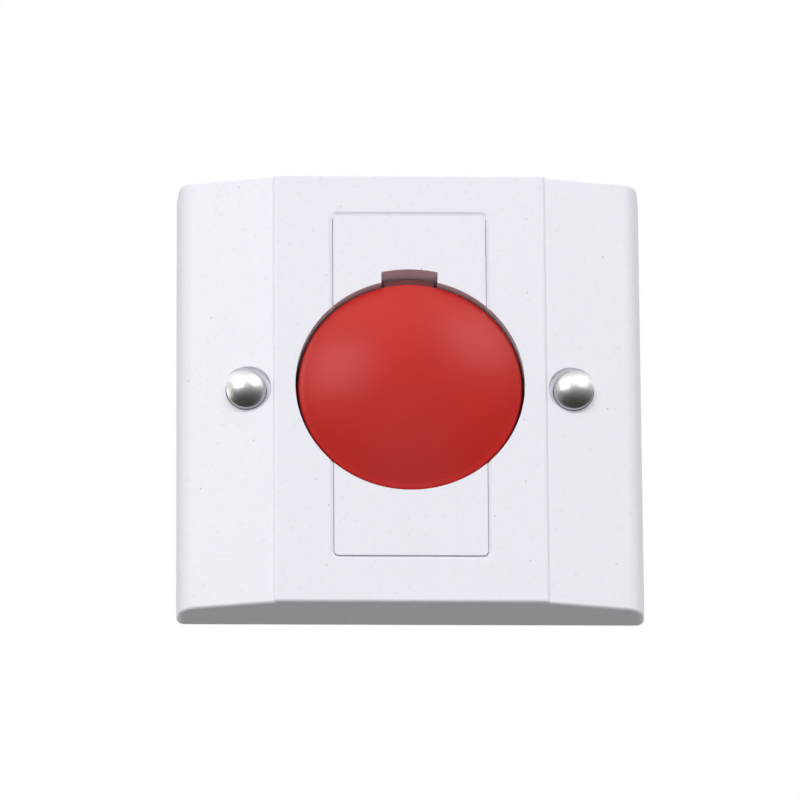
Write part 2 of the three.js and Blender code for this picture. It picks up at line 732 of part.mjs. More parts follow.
function terminalBlock() {
  const width = TERMINAL_WAYS * TERMINAL_PITCH;
  const ways = Array.from({ length: TERMINAL_WAYS }, (_, way) => terminalX(way));
  return cut(
    block(width, TERMINAL_DEPTH, terminalBottom, terminalTop, 0, TERMINAL_Y),
    ...ways.map((x) =>
      block(
        WIRE_HOLE,
        WIRE_HOLE_DEPTH + CUT,
        wireHoleLow,
        wireHoleLow + WIRE_HOLE,
        x,
        terminalFront + half(WIRE_HOLE_DEPTH) - half(CUT),
      ),
    ),
    ...ways.map((x) =>
      disc(
        TERMINAL_SCREW_HEAD + 2 * GAP,
        terminalBottom - CUT,
        wireHoleLow + half(WIRE_HOLE),
        x,
        TERMINAL_Y,
        COARSE,
      ),
    ),
  );
}

// A bent metal sleeve that the wire goes into, open at both ends.
function terminalClamp() {
  const outer = WIRE_HOLE - GAP;
  const inner = outer - 2 * CLAMP_WALL;
  const depth = WIRE_HOLE_DEPTH - TERMINAL_SCREW_HEAD;
  return cut(
    block(outer, depth, -half(outer), half(outer)),
    block(inner, depth + CUT, -half(inner), half(inner)),
  );
}

// Screw with a slotted head: its seat is at z = 0, its thread runs to +z and its head lies below.
function slottedScrew(headDiameter, headHeight, threadDiameter, length) {
  const edge = headHeight / 4;
  const body = turned(
    [
      [0, -headHeight],
      [half(headDiameter) - edge, -headHeight],
      [half(headDiameter), -headHeight + edge],
      [half(headDiameter), 0],
      [half(threadDiameter), 0],
      [half(threadDiameter), length - threadDiameter / 4],
      [threadDiameter / 4, length],
      [0, length],
    ],
    SMALL,
  );
  return cut(body, block(headDiameter + CUT, SLOT_WIDTH, -headHeight - CUT, -headHeight + SLOT_DEPTH));
}

// Cross-recessed wall screw, seat at z = 0, head above and thread below.
function fixingScrew() {
  const length = COUNTERBORE_FLOOR + GAP + FIXING_REACH;
  const body = turned(
    [
      [0, -length],
      [FIXING_THREAD / 4, -length],
      [half(FIXING_THREAD), -length + FIXING_THREAD / 4],
      [half(FIXING_THREAD), 0],
      [half(FIXING_HEAD), 0],
      [half(FIXING_HEAD), FIXING_HEAD_HEIGHT * 0.6],
      [half(FIXING_HEAD) * 0.7, FIXING_HEAD_HEIGHT],
      [0, FIXING_HEAD_HEIGHT],
    ],
    COARSE,
  );
  const reach = FIXING_HEAD * 0.6;
  const depth = FIXING_HEAD_HEIGHT * 0.55;
  return cut(
    body,
    block(reach, SLOT_WIDTH, FIXING_HEAD_HEIGHT - depth, FIXING_HEAD_HEIGHT + CUT),
    block(SLOT_WIDTH, reach, FIXING_HEAD_HEIGHT - depth, FIXING_HEAD_HEIGHT + CUT),
  );
}

// Domed metal cap: a hollow plug that stands in the counterbore over the screw's head.
function screwCap() {
  const radius = half(CAP_DIAMETER);
  const skirtEnd = COUNTERBORE_FLOOR + 2 * GAP + FIXING_HEAD_HEIGHT;
  const inner = radius - CAP_WALL;
  return turned(
    [
      [0, CAP_RIM],
      [inner, CAP_RIM - CAP_WALL],
      [inner, skirtEnd],
      [radius, skirtEnd],
      ...domeArc(radius, CAP_RIM, CAP_DOME, 7).reverse(),
    ],
    MEDIUM,
  );
}

// Rear cover: a plate with a locating lip, spacers that press on the board and a window for the terminals.
function rearCover() {
  const lipOuter = [tubWidth - 2 * (TUB_WALL + GAP), tubHeight - 2 * (TUB_WALL + GAP)];
  const lip = cut(
    prism(
      rectangle(...lipOuter, TUB_CORNER - TUB_WALL),
      coverTop - half(COVER_THICKNESS),
      coverTop + COVER_LIP_HEIGHT,
    ),
    prism(
      rectangle(lipOuter[0] - 2 * COVER_LIP, lipOuter[1] - 2 * COVER_LIP, half(COVER_LIP)),
      coverTop - COVER_THICKNESS,
      coverTop + COVER_LIP_HEIGHT + CUT,
    ),
  );
  const plate = prism(rectangle(tubWidth, tubHeight, TUB_CORNER), coverBottom, coverTop);
  const spacers = postPlaces.map(([x, y]) =>
    disc(POST_DIAMETER, coverBottom + half(COVER_THICKNESS), boardBottom - GAP, x, y, COARSE),
  );
  const windowWidth = TERMINAL_WAYS * TERMINAL_PITCH + 2 * GAP;
  const windowHeight = TERMINAL_DEPTH + 2 * GAP;
  return cut(
    join(plate, lip, ...spacers),
    block(windowWidth, windowHeight, coverBottom - CUT, coverTop + CUT, 0, TERMINAL_Y),
    ...postPlaces.map(([x, y]) =>
      disc(SCREW_THREAD + 2 * PILOT_GAP, coverBottom - CUT, boardBottom + CUT, x, y, COARSE),
    ),
  );
}

// Materials
const material = (color, roughness, metalness = 0) =>
  new THREE.MeshStandardMaterial({ color, roughness, metalness });
const whitePlastic = () => material(0xefeff6, 0.45);
const redPlastic = () => material(0xc23a35, 0.4);
const darkPlastic = () => material(0x24262a, 0.55);
const polishedSteel = () => material(0xc6cdc0, 0.25, 1);
const zincSteel = () => material(0xb4b6b8, 0.4, 1);
const boardGreen = () => material(0x1f6b43, 0.5);
const terminalGreen = () => material(0x2c8a4e, 0.45);
const resistorBlue = () => material(0x6f9fc4, 0.5);

// The assembly
const unit = new THREE.Group();

function add(name, solid, finish, x = 0, y = 0, z = 0) {
  const mesh = new THREE.Mesh(geometryOf(solid), finish);
  mesh.name = name;
  mesh.position.set(x, y, z);
  unit.add(mesh);
  return mesh;
}

add("face_plate", facePlate(), whitePlastic());
add("button_housing", buttonHousing(), whitePlastic());
add("push_button", pushButton(), redPlastic(), 0, AXIS_HEIGHT);
add(
  "return_spring",
  coilSpring(RETURN_COIL, RETURN_WIRE, RETURN_TURNS, FLOOR_LEVEL + GAP, RIB_END - GAP, 6, 16),
  zincSteel(),
  0,
  AXIS_HEIGHT,
);
add("reset_tongue", resetTongue(), redPlastic());
add(
  "reset_spring",
  coilSpring(RESET_COIL, RESET_WIRE, RESET_TURNS, boardTop + GAP, footBottom - GAP, 5, 9),
  zincSteel(),
  0,
  resetSpringY,
);
add("switch_body", switchBody(), darkPlastic());
add("switch_plunger", roundKey(PLUNGER_DIAMETER, PLUNGER_LENGTH), whitePlastic(), 0, AXIS_HEIGHT, plungerTop);
add(
  "switch_release",
  roundKey(RELEASE_DIAMETER, RELEASE_LENGTH),
  redPlastic(),
  0,
  AXIS_HEIGHT + RELEASE_OFFSET,
  releaseTop,
);
pinPlaces.forEach(([x, y], i) => {
  const pinTop = switchBottom - GAP / 2;
  add(`switch_pin_${i + 1}`, block(PIN_WIDTH, PIN_THICKNESS, -PIN_LENGTH, 0), zincSteel(), x, y, pinTop);
});
add("circuit_board", circuitBoard(), boardGreen());
add(
  "controller_chip",
  block(CHIP_SIZE[0], CHIP_SIZE[1], 0, CHIP_SIZE[2]),
  darkPlastic(),
  ...CHIP_PLACE,
  boardTop + GAP,
);
add("capacitor", capacitor(), darkPlastic(), ...CAPACITOR_PLACE, boardTop + GAP);
RESISTOR_PLACES.forEach(([x, y], i) => add(`resistor_${i + 1}`, resistor(), resistorBlue(), x, y));
add("terminal_block", terminalBlock(), terminalGreen());
for (let way = 0; way < TERMINAL_WAYS; way += 1) {
  const clampDepth = WIRE_HOLE_DEPTH - TERMINAL_SCREW_HEAD;
  add(
    `terminal_clamp_${way + 1}`,
    terminalClamp(),
    zincSteel(),
    terminalX(way),
    terminalFront + half(clampDepth) + GAP,
    wireHoleLow + half(WIRE_HOLE),
  );
  add(
    `terminal_screw_${way + 1}`,
    slottedScrew(TERMINAL_SCREW_HEAD, TERMINAL_SCREW_HEIGHT, TERMINAL_SCREW_HEAD / 2, 1.6),
    zincSteel(),
    terminalX(way),
    TERMINAL_Y,
    terminalBottom + TERMINAL_SCREW_HEIGHT + GAP,
  );
}
add("rear_cover", rearCover(), whitePlastic());
postPlaces.forEach(([x, y], i) =>
  add(
    `cover_screw_${i + 1}`,
    slottedScrew(SCREW_HEAD, SCREW_HEAD_HEIGHT, SCREW_THREAD, COVER_SCREW_LENGTH),
    zincSteel(),
    x,
    y,
    coverBottom - GAP,
  ),
);
flangeScrewPlaces.forEach(([x, y], i) =>
  add(
    `housing_screw_${i + 1}`,
    slottedScrew(SCREW_HEAD, SCREW_HEAD_HEIGHT, SCREW_THREAD, FLANGE_SCREW_LENGTH),
    zincSteel(),
    x,
    y,
    flangeBottom - GAP,
  ),
);
["left", "right"].forEach((side, i) => {
  const x = (i - 0.5) * FIXING_CENTRES;
  add(`fixing_screw_${side}`, fixingScrew(), zincSteel(), x, 0, COUNTERBORE_FLOOR + GAP);
  add(`screw_cap_${side}`, screwCap(), polishedSteel(), x);
});

unit.rotation.x = Math.PI / 2;

export default unit;
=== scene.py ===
import json
import math

import bmesh
import bpy
from mathutils import Matrix, Vector

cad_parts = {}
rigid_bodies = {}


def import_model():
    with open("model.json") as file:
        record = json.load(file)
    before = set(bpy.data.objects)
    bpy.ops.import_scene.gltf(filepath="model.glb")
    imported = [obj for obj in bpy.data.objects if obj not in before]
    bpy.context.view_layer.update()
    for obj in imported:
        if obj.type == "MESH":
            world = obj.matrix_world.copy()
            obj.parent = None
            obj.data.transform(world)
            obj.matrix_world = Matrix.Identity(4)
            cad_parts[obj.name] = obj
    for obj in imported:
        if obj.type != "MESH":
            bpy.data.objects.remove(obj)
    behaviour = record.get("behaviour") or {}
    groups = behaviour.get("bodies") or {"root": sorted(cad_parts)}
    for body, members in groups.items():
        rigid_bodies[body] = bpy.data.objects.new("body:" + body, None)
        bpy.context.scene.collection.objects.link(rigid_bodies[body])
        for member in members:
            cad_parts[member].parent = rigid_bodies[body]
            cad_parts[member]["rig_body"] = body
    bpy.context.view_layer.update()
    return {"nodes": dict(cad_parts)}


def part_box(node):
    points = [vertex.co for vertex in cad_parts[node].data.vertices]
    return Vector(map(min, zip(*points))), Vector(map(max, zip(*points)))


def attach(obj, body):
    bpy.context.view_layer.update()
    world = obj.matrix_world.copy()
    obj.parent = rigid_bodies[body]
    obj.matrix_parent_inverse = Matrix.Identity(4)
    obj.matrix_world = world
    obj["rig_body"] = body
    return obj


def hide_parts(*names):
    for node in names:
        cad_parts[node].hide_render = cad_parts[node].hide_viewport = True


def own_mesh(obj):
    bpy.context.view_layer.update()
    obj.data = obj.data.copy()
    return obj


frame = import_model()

bl_info = {
    "name": "Emergency call unit",
    "version": (1, 0, 0),
    "blender": (4, 5, 0),
    "location": "View3D > Sidebar > Call unit",
    "description": "Models a wall plate with a large push button, piece by piece",
    "category": "Object",
}

# Lengths are millimetres unless a comment says otherwise. x runs to the right, up is up, and out is the
# distance from the wall towards the user. A finished piece is brought to metres.
MM = 0.001

# Face plate
PLATE_WALL = 2.2
BAND_STEP = 0.6
BAND_EDGE = 0.3
BAND_SHOULDER = 0.6
BAND_FOOT = 0.15
SIDE_DRAFT = 0.75
SIDE_FILLET = 3.8
END_ROUND = 0.6
LIP = 1.2
PLATE_RIB = 1.4
PLATE_RIB_HEIGHT = 2.0
BOSS_WALL = 1.4

# Fixing screws and their caps
COLUMN_DIAMETER = 10.0
COUNTERBORE_DIAMETER = 7.6
COUNTERBORE_FLOOR = 4.8
SPOT_DIAMETER = 9.2
FIXING_THREAD = 3.8
FIXING_HEAD = 6.8
FIXING_HEAD_HEIGHT = 2.2
FIXING_REACH = 16.0
FIXING_CROWN = 1.7
FIXING_EDGE = 0.5
CAP_DIAMETER = 7.4
CAP_DOME = 1.5
CAP_WALL = 0.7
CAP_RIM = 9.6

# Label panel and button housing
PANEL_WIDTH = 28.2
PANEL_HEIGHT = 68.2
PANEL_CORNER = 0.9
PANEL_SKIN = 2.0
GROOVE_DEPTH = 0.45
PANEL_GAP = 0.1
SHOULDER = 1.2
AXIS = 0.43
BORE_DIAMETER = 42.3
COLLAR_WALL = 2.0
FLOOR_LEVEL = -2.0
FLOOR_THICKNESS = 2.0
FLANGE = (47.0, 77.0)
FLANGE_TOP = 5.7
FLANGE_THICKNESS = 1.7
FLANGE_SCREWS = (20.0, 33.0)
TUB = (50.0, 54.0)
TUB_CORNER = 4.0
TUB_WALL = 2.0
TUB_DEPTH = 20.7
POSTS = (18.0, 20.0)
POST_DIAMETER = 5.6

# Push button
BUTTON_EDGE = 0.5
BUTTON_SKIN = 2.0
SKIRT_WALL = 1.6
SKIRT_END = 2.5
BUTTON_TRAVEL = 3.0
BUTTON_SMOOTH = 34.0  # degrees
EDGE_LINES = (3.0, 1.3)  # run and fall of the lines that meet in the rounded rim
EDGE_LIFT = 0.02
EDGE_CLEARANCE = 0.1
STEM_CHAMFER = 0.4
SKIRT_CHAMFER = 0.2
STEM_DIAMETER = 8.0
STEM_END = -6.0
STEM_GUIDE_WALL = 1.5
STEM_GUIDE_HEIGHT = 4.0
BUTTON_RIB = 1.4
RIB_END = 9.0
LUG_WIDTH = 6.0
LUG_HEIGHT = 1.5
LUG_REACH = 1.7

# Springs
RETURN_COIL = 15.0
RETURN_WIRE = 1.0
RETURN_TURNS = 5
RESET_COIL = 4.0
RESET_WIRE = 0.5
RESET_TURNS = 7
CLOSED_PITCH = 1.2
COIL_STEPS = 40
RESET_PEG_DIAMETER = 2.4
RESET_PEG_LENGTH = 2.5

# Reset tongue in the notch above the button
NOTCH_WIDTH = 10.4
NOTCH_REACH = 2.05
TONGUE_WIDTH = 9.3
TONGUE_DROP = 4.0
TONGUE_THICKNESS = 1.45
TONGUE_TRAVEL = 2.0
FOOT_WIDTH = 4.4
FOOT_THICKNESS = 2.0
CHANNEL_WALL = 2.0
RESET_SPRING_UP = 16.43

# Latching switch
SWITCH = (12.0, 17.0)
SWITCH_UP = 2.83
SWITCH_TOP = -9.9
SWITCH_HEIGHT = 6.0
SWITCH_CORNER = 0.5
PLUNGER = (3.4, 5.0)
RELEASE = (2.2, 4.4)
RELEASE_OFFSET = 7.0
PIN = (0.9, 0.6, 3.4)

# Circuit board
BOARD_THICKNESS = 1.6
BOARD_MARGIN = 0.6
CHIP = (10.0, 6.2, 1.8)
CHIP_PLACE = (-13.0, -4.0)
CHIP_LEG = 1.1
CHIP_LEGS = 7
CHIP_PITCH = 1.27
CHIP_LIFT = 0.1
CHIP_MARK = (0.9, 0.12, 1.2)  # diameter, depth, distance from the end
LEG_WIDTH = 0.42
LEG_THICKNESS = 0.2
LEG_TOP = 0.9
CAPACITOR = (6.3, 7.7)
CAPACITOR_PLACE = (13.5, -6.0)
CAN_FOOT = 0.3
CAN_ROUND = 0.5
CAN_WAIST = 0.92
RESISTOR_DIAMETER = 2.3
RESISTOR_LENGTH = 6.3
RESISTOR_LEAD = 0.6
RESISTOR_END = 1.15  # of the diameter
RESISTOR_SPAN = 10.2
RESISTOR_PLACES = ((-14.0, 7.0), (-14.0, 11.5))

# Terminals and rear cover
WAYS = 3
PITCH = 5.08
TERMINAL_DEPTH = 8.2
TERMINAL_HEIGHT = 10.6
TERMINAL_UP = -13.0
WIRE_HOLE = 3.2
WIRE_HOLE_DEPTH = 5.4
WIRE_HOLE_LIFT = 2.0
CLAMP_WALL = 0.4
TERMINAL_SCREW = (3.2, 1.2, 1.6)  # head, its height, reach
COVER_THICKNESS = 2.0
COVER_LIP = 1.4
COVER_LIP_HEIGHT = 1.5

# Small screws
SCREW_THREAD = 2.2
SCREW_HEAD = 4.4
SCREW_HEAD_HEIGHT = 1.6
FLANGE_SCREW_LENGTH = 4.4
COVER_SCREW_LENGTH = 12.5
SLOT_WIDTH = 0.8
SLOT_DEPTH = 0.7
SCREW_PITCH = 0.8
FIXING_PITCH = 0.7
THREAD_DEPTH = 0.5  # of the pitch
RECESS_REACH = 4.08
RECESS_WIDTH = 0.8
RECESS_DEPTH = 1.21

GAP = 0.3
MOULD_LINE = 0.3
CUT = 1.0
WELD = 1e-4

# Rounded edges
PLATE_ROUND = 0.14
MOULDED_ROUND = 0.12
COVER_ROUND = 0.3
SMALL_ROUND = 0.1
PIN_ROUND = 0.15
RESISTOR_ROUND = 0.2
BOARD_ROUND = 0.06
RECESS_ROUND = 0.05

# Sides of round shapes
BIG = 160
CAP_SIDES = 96
SCREW_SIDES = 72
SIDES = 64
POST_SIDES = 48
SLOTTED_SIDES = 40
PILOT_SIDES = 32
LEAD_SIDES = 24

# Levels that follow
FLANGE_BOTTOM = FLANGE_TOP - FLANGE_THICKNESS
FLOOR_BOTTOM = FLOOR_LEVEL - FLOOR_THICKNESS
SWITCH_BOTTOM = SWITCH_TOP - SWITCH_HEIGHT
BOARD_TOP = SWITCH_BOTTOM - GAP
BOARD_BOTTOM = BOARD_TOP - BOARD_THICKNESS
POST_END = BOARD_TOP + GAP
COVER_TOP = -TUB_DEPTH - GAP
COVER_BOTTOM = COVER_TOP - COVER_THICKNESS
BORE_RADIUS = BORE_DIAMETER / 2
COLLAR_RADIUS = BORE_RADIUS + COLLAR_WALL
NOTCH_RADIUS = BORE_RADIUS + NOTCH_REACH
FOOT_TOP = FLOOR_BOTTOM - GAP
FOOT_BOTTOM = FOOT_TOP - FOOT_THICKNESS
PILOT = SCREW_THREAD + 2 * GAP
TERMINAL_TOP = BOARD_BOTTOM - GAP
TERMINAL_BOTTOM = TERMINAL_TOP - TERMINAL_HEIGHT
TERMINAL_FRONT = TERMINAL_UP - TERMINAL_DEPTH / 2
WIRE_HOLE_LOW = TERMINAL_BOTTOM + WIRE_HOLE_LIFT

# Studio, in metres
SKY_LEVELS = ((-0.66, 0.075), (-0.19, 0.17), (0.29, 0.38), (0.69, 0.75), (0.93, 1.0))  # height, brightness
CARD_LEVELS = ((-0.66, 0.014), (-0.19, 0.045), (0.29, 0.17), (0.66, 0.6), (0.78, 1.0))
CARD_STRENGTH = 1.6
SKY_FLOOR = 0.03
COVE_RADIUS = 2.6
COVE_TOP = 0.93
COVE_BACK = 0.1
LAMP_DISTANCE = 1.5
LAMPS = (  # name, azimuth and elevation, side in metres, watts, tint, whether reflections show it
    ("lamp_left", (-33, 30), 0.6, 5.2, (1.0, 1.0, 1.0), True),
    ("lamp_right", (38, 42), 0.6, 3.8, (1.0, 1.0, 1.0), True),
    ("lamp_front", (0, -5), 1.2, 5.6, (1.0, 1.0, 1.0), False),
    ("lamp_left_side", (-84, 5), 0.8, 4.2, (1.0, 0.97, 0.92), True),
    ("lamp_right_side", (84, 5), 1.0, 3.2, (1.0, 0.95, 0.88), False),
    ("lamp_below", (0, -35), 1.2, 4.2, (1.0, 0.86, 0.88), False),
)
CAMERA_ASIDE = (1.617, 1.900)  # mm from the picture's middle to the plate's: right and down


# Settings that a user would change

def length(name, description, default):
    return bpy.props.FloatProperty(
        name=name, description=description, default=default, min=0.0, subtype="DISTANCE", unit="LENGTH")


def tint(name, description, default):
    return bpy.props.FloatVectorProperty(
        name=name, description=description, default=default, min=0.0, max=1.0, size=3, subtype="COLOR")


def angled(name, description, degrees):
    return bpy.props.FloatProperty(
        name=name, description=description, default=math.radians(degrees), subtype="ANGLE", unit="ROTATION")


class CallPlateSettings(bpy.types.PropertyGroup):
    size: length("Side", "Side of the square plate", 0.086)
    depth: length("Depth", "From the wall to the raised band", 0.011)
    corner: length("Corner", "Corner radius seen from the front", 0.0015)
    band: length("Band", "Width of the raised band down the middle", 0.0499)
    slope: angled("Slope", "How far each wing falls away from the band", 11.5)
    groove: length("Groove", "Gap round the label panel", 0.0008)
    centres: length("Centres", "Between the two fixing screws", 0.0603)


class CallButtonSettings(bpy.types.PropertyGroup):
    diameter: length("Diameter", "Diameter of the push button", 0.0412)
    dome: length("Dome", "Height of the dome over its rim", 0.0047)
    recess: length("Recess", "Rim below the plate's face", 0.00105)


class CallFinishSettings(bpy.types.PropertyGroup):
    white: tint("White plastic", "Plate and housing", (0.848, 0.862, 0.930))
    red: tint("Red plastic", "Button and reset tongue", (0.545, 0.022, 0.018))
    metal: tint("Cap metal", "Screw caps", (0.80, 0.82, 0.79))
    board: tint("Board", "Circuit board", (0.014, 0.145, 0.056))
    grain: length("Grain", "Size of the grain in the white plastic", 0.0004)


class CallStudioSettings(bpy.types.PropertyGroup):
    distance: length("Camera distance", "From the camera to the plate", 2.111)
    lens: bpy.props.FloatProperty(name="Lens", description="Focal length in mm", default=513.6)
    yaw: angled("Yaw", "Camera to the left of the plate's middle", 1.54)
    pitch: angled("Pitch", "Camera below the plate's middle", 23.63)
    roll: angled("Roll", "Turn of the picture", -0.39)
    level: bpy.props.FloatProperty(name="Level", description="Brightness of all lamps", default=1.0, min=0.0)


# Modelling tools

def front(x, up, out):
    """A point of the object as a point of the scene."""
    return Vector((x, -out, up))


def enter(mode):
    bpy.ops.object.mode_set(mode=mode)


def alone():
    """Object mode, with nothing selected."""
    if bpy.context.mode != "OBJECT":
        enter("OBJECT")
    bpy.ops.object.select_all(action="DESELECT")


def take(obj):
    """Selects one object alone and makes it the active one."""
    alone()
    obj.select_set(True)
    bpy.context.view_layer.objects.active = obj
    return obj


def applied():
    bpy.ops.object.transform_apply(location=True, rotation=True, scale=True)
    return bpy.context.object


def block(width, height, low, high, x=0.0, up=0.0):
    alone()
    bpy.ops.mesh.primitive_cube_add(size=1, location=front(x, up, (low + high) / 2))
    bpy.context.object.scale = (width, high - low, height)
    return applied()


def disc(diameter, low, high, x=0.0, up=0.0, sides=SIDES, end=None):
    """A cylinder along out, or a cone where the far end's diameter differs."""
    alone()
    bpy.ops.mesh.primitive_cone_add(
        vertices=sides, radius1=diameter / 2, radius2=(diameter if end is None else end) / 2,
        depth=high - low, location=front(x, up, (low + high) / 2), rotation=(math.pi / 2, 0, 0))
    return applied()


def draw(points, filled=True):
    """An outline drawn point by point from one vertex, left open in edit mode."""
    alone()
    bpy.ops.mesh.primitive_plane_add(size=1)
    enter("EDIT")
    bpy.ops.mesh.select_mode(type="VERT")
    bpy.ops.mesh.select_all(action="SELECT")
    bpy.ops.mesh.merge(type="CENTER")
    bpy.ops.transform.translate(value=points[0])
    for before, after in zip(points, points[1:]):
        bpy.ops.mesh.extrude_region_move(TRANSFORM_OT_translate={"value": after - before})
    bpy.ops.mesh.select_all(action="SELECT")
    if filled:
        bpy.ops.mesh.edge_face_add()


def closed():
    """Merges doubles, turns the faces outwards and leaves edit mode."""
    bpy.ops.mesh.select_all(action="SELECT")
    bpy.ops.mesh.remove_doubles(threshold=WELD)
    bpy.ops.mesh.normals_make_consistent(inside=False)
    enter("OBJECT")
    return bpy.context.object


def prism(outline, low, high, growth=None):
    """An outline seen from the front, extruded between two levels; its upper end may be larger."""
    draw([front(x, up, low) for x, up in outline])
    bpy.ops.mesh.extrude_region_move(TRANSFORM_OT_translate={"value": (0, low - high, 0)})
    if growth:
        bpy.ops.transform.resize(value=(growth[0], 1, growth[1]), center_override=front(0, AXIS, high))
    return closed()


def run_up(section, size):
    """A section in x and out, extruded upwards about the middle."""
    draw([front(x, -size / 2, out) for x, out in section])
    bpy.ops.mesh.extrude_region_move(TRANSFORM_OT_translate={"value": (0, 0, size)})
    return closed()


def turned(profile, x=0.0, up=0.0, sides=SIDES):
    """A profile of radius and level, from the axis back to the axis, spun about its axis."""
    draw([front(x + radius, up, out) for radius, out in profile], filled=False)
    bpy.ops.mesh.spin(steps=sides, angle=2 * math.pi, center=front(x, up, 0), axis=(0, 1, 0))
    return closed()


def modified(obj, kind, **values):
    """Adds a modifier with these values and applies it."""
    take(obj)
    bpy.ops.object.modifier_add(type=kind)
    change = obj.modifiers[-1]
    for name, value in values.items():
        setattr(change, name, value)
    bpy.ops.object.modifier_apply(modifier=change.name)
    return obj


def combined(obj, tools, how):
    for tool in tools:
        modified(obj, "BOOLEAN", operation=how, solver="MANIFOLD", object=tool)
        bpy.data.objects.remove(tool)
    return obj


def join(obj, *tools):
    return combined(obj, tools, "UNION")


def cut(obj, *tools):
    return combined(obj, tools, "DIFFERENCE")


def common(obj, *tools):
    return combined(obj, tools, "INTERSECT")


def ring(outer, inner, low, high, x=0.0, up=0.0, sides=SIDES):
    return cut(disc(outer, low, high, x, up, sides), disc(inner, low - CUT, high + CUT, x, up, sides))


def bevelled(obj, chosen, width, segments):
    """Rounds the edges whose two ends pass a test."""
    take(obj)
    enter("EDIT")
    bpy.ops.mesh.select_mode(type="EDGE")
    bpy.ops.mesh.select_all(action="DESELECT")
    mesh = bmesh.from_edit_mesh(obj.data)
    for edge in mesh.edges:
        edge.select_set(chosen(edge.verts[0].co, edge.verts[1].co))
    bmesh.update_edit_mesh(obj.data)
    bpy.ops.mesh.bevel(offset=width, segments=segments, affect="EDGES")
    enter("OBJECT")
    return obj


def softened(obj, width, segments=2, angle=32.0):
    """Rounds every sharp edge a little, as moulded or machined edges are."""
    return modified(
        obj, "BEVEL", width=width, segments=segments, limit_method="ANGLE",
        angle_limit=math.radians(angle), use_clamp_overlap=True)


def rounded(corners, steps=8):
    """Outline points, with each corner (x, y, radius) turned into an arc."""
    points = []
    for i, (x, y, radius) in enumerate(corners):
        corner = Vector((x, y))
        if not radius:
            points.append((x, y))
            continue
        back = (Vector(corners[i - 1][:2]) - corner).normalized()
        ahead = (Vector(corners[(i + 1) % len(corners)][:2]) - corner).normalized()
        half = math.acos(max(-1.0, min(1.0, back.dot(ahead)))) / 2
        centre = corner + (back + ahead).normalized() * (radius / math.sin(half))
        spoke = corner + back * (radius / math.tan(half)) - centre
        turn = math.copysign(math.pi - 2 * half, -back.cross(ahead))
        for step in range(steps + 1):
            angle = turn * step / steps
            c, s = math.cos(angle), math.sin(angle)
            points.append((centre.x + spoke.x * c - spoke.y * s, centre.y + spoke.x * s + spoke.y * c))
    return points


def rectangle(width, height, radius, up=0.0, steps=8):
    w, h = width / 2, height / 2
    return rounded(
        [(-w, up - h, radius), (w, up - h, radius), (w, up + h, radius), (-w, up + h, radius)], steps)


def corner_places(x, up):
    return [(sx * x, sy * up) for sx in (-1, 1) for sy in (-1, 1)]


def discs(reach, diameter, low, high, sides=PILOT_SIDES):
    """Four cylinders, one in each corner."""
    return [disc(diameter, low, high, x, up, sides) for x, up in corner_places(*reach)]


def dome(base, level, rise, steps, depth=0.0, wall=None):
    """Points of a dome from its axis outwards, taken a depth under its surface."""
    sphere = (base ** 2 + rise ** 2) / (2 * rise)
    centre = level + rise - sphere
    skin = sphere - depth
    widest = math.asin((base if wall is None else wall) / skin)
    angles = [widest * i / steps for i in range(steps + 1)]
    return [(skin * math.sin(angle), centre + skin * math.cos(angle)) for angle in angles]


def in_metres(obj):
    take(obj)
    obj.scale = (MM, MM, MM)
    return applied()


def piece(obj, name, node, finish, smooth=40.0, surface_name=None):
    """Brings a finished shape to metres and puts it in its CAD node's place."""
    in_place(obj, name, node, finish, smooth, surface_name)
    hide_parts(node)
    return obj


def in_place(obj, name, node, finish, smooth=40.0, surface_name=None):
    """Brings a finished shape to metres and lets it ride with a CAD node's body."""
    in_metres(obj)
    bpy.ops.object.shade_smooth_by_angle(angle=math.radians(smooth))
    modified(obj, "WEIGHTED_NORMAL", keep_sharp=True, weight=50, mode="FACE_AREA")
    obj.name = name
    obj.data.name = name
    obj.data.materials.clear()
    obj.data.materials.append(material_of(surface_name or finish))
    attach(obj, frame["nodes"][node]["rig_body"])
    return obj


# Finishes

def material_of(finish):
    name = f"{finish}_surface"
    made = bpy.data.materials.get(name)
    return made if made else FINISHES[finish](name)


def surface(name, color, roughness, metallic=0.0):
    material = bpy.data.materials.new(name)
    material.use_nodes = True
    shader = material.node_tree.nodes["Principled BSDF"]
    shader.inputs["Base Color"].default_value = (*color, 1.0)
    shader.inputs["Roughness"].default_value = roughness
    shader.inputs["Metallic"].default_value = metallic
    return material, material.node_tree, shader


def fed(tree, socket, value):
    """Links another socket to an input, or sets a value on it."""
    if isinstance(value, bpy.types.NodeSocket):
        tree.links.new(value, socket)
    else:
        socket.default_value = value


def added(tree, kind, output, **inputs):
    """Adds a shader node with these inputs and returns one of its outputs."""
    node = tree.nodes.new(f"ShaderNode{kind}")
    for name, value in inputs.items():
        fed(tree, node.inputs[name], value)
    return node.outputs[output]


def noise(tree, scale, stretch=(1.0, 1.0, 1.0), detail=2.0):
    """Noise on the piece's own coordinates; scale is per metre."""
    place = added(tree, "TexCoord", "Object")
    mapped = added(tree, "Mapping", "Vector", Vector=place, Scale=stretch)
    return added(tree, "TexNoise", "Fac", Vector=mapped, Scale=scale, Detail=detail)


def cells(tree, scale):
    """Distance from scattered points on the piece's own coordinates, in cells."""
    return added(tree, "TexVoronoi", "Distance", Vector=added(tree, "TexCoord", "Object"), Scale=scale)


def ranged(tree, value, low, high, to_low, to_high):
    """A value brought from one range to another, held at both ends."""
    node = tree.nodes.new("ShaderNodeMapRange")
    for socket, number in zip(node.inputs, (value, low, high, to_low, to_high)):
        fed(tree, socket, number)
    return node.outputs[0]


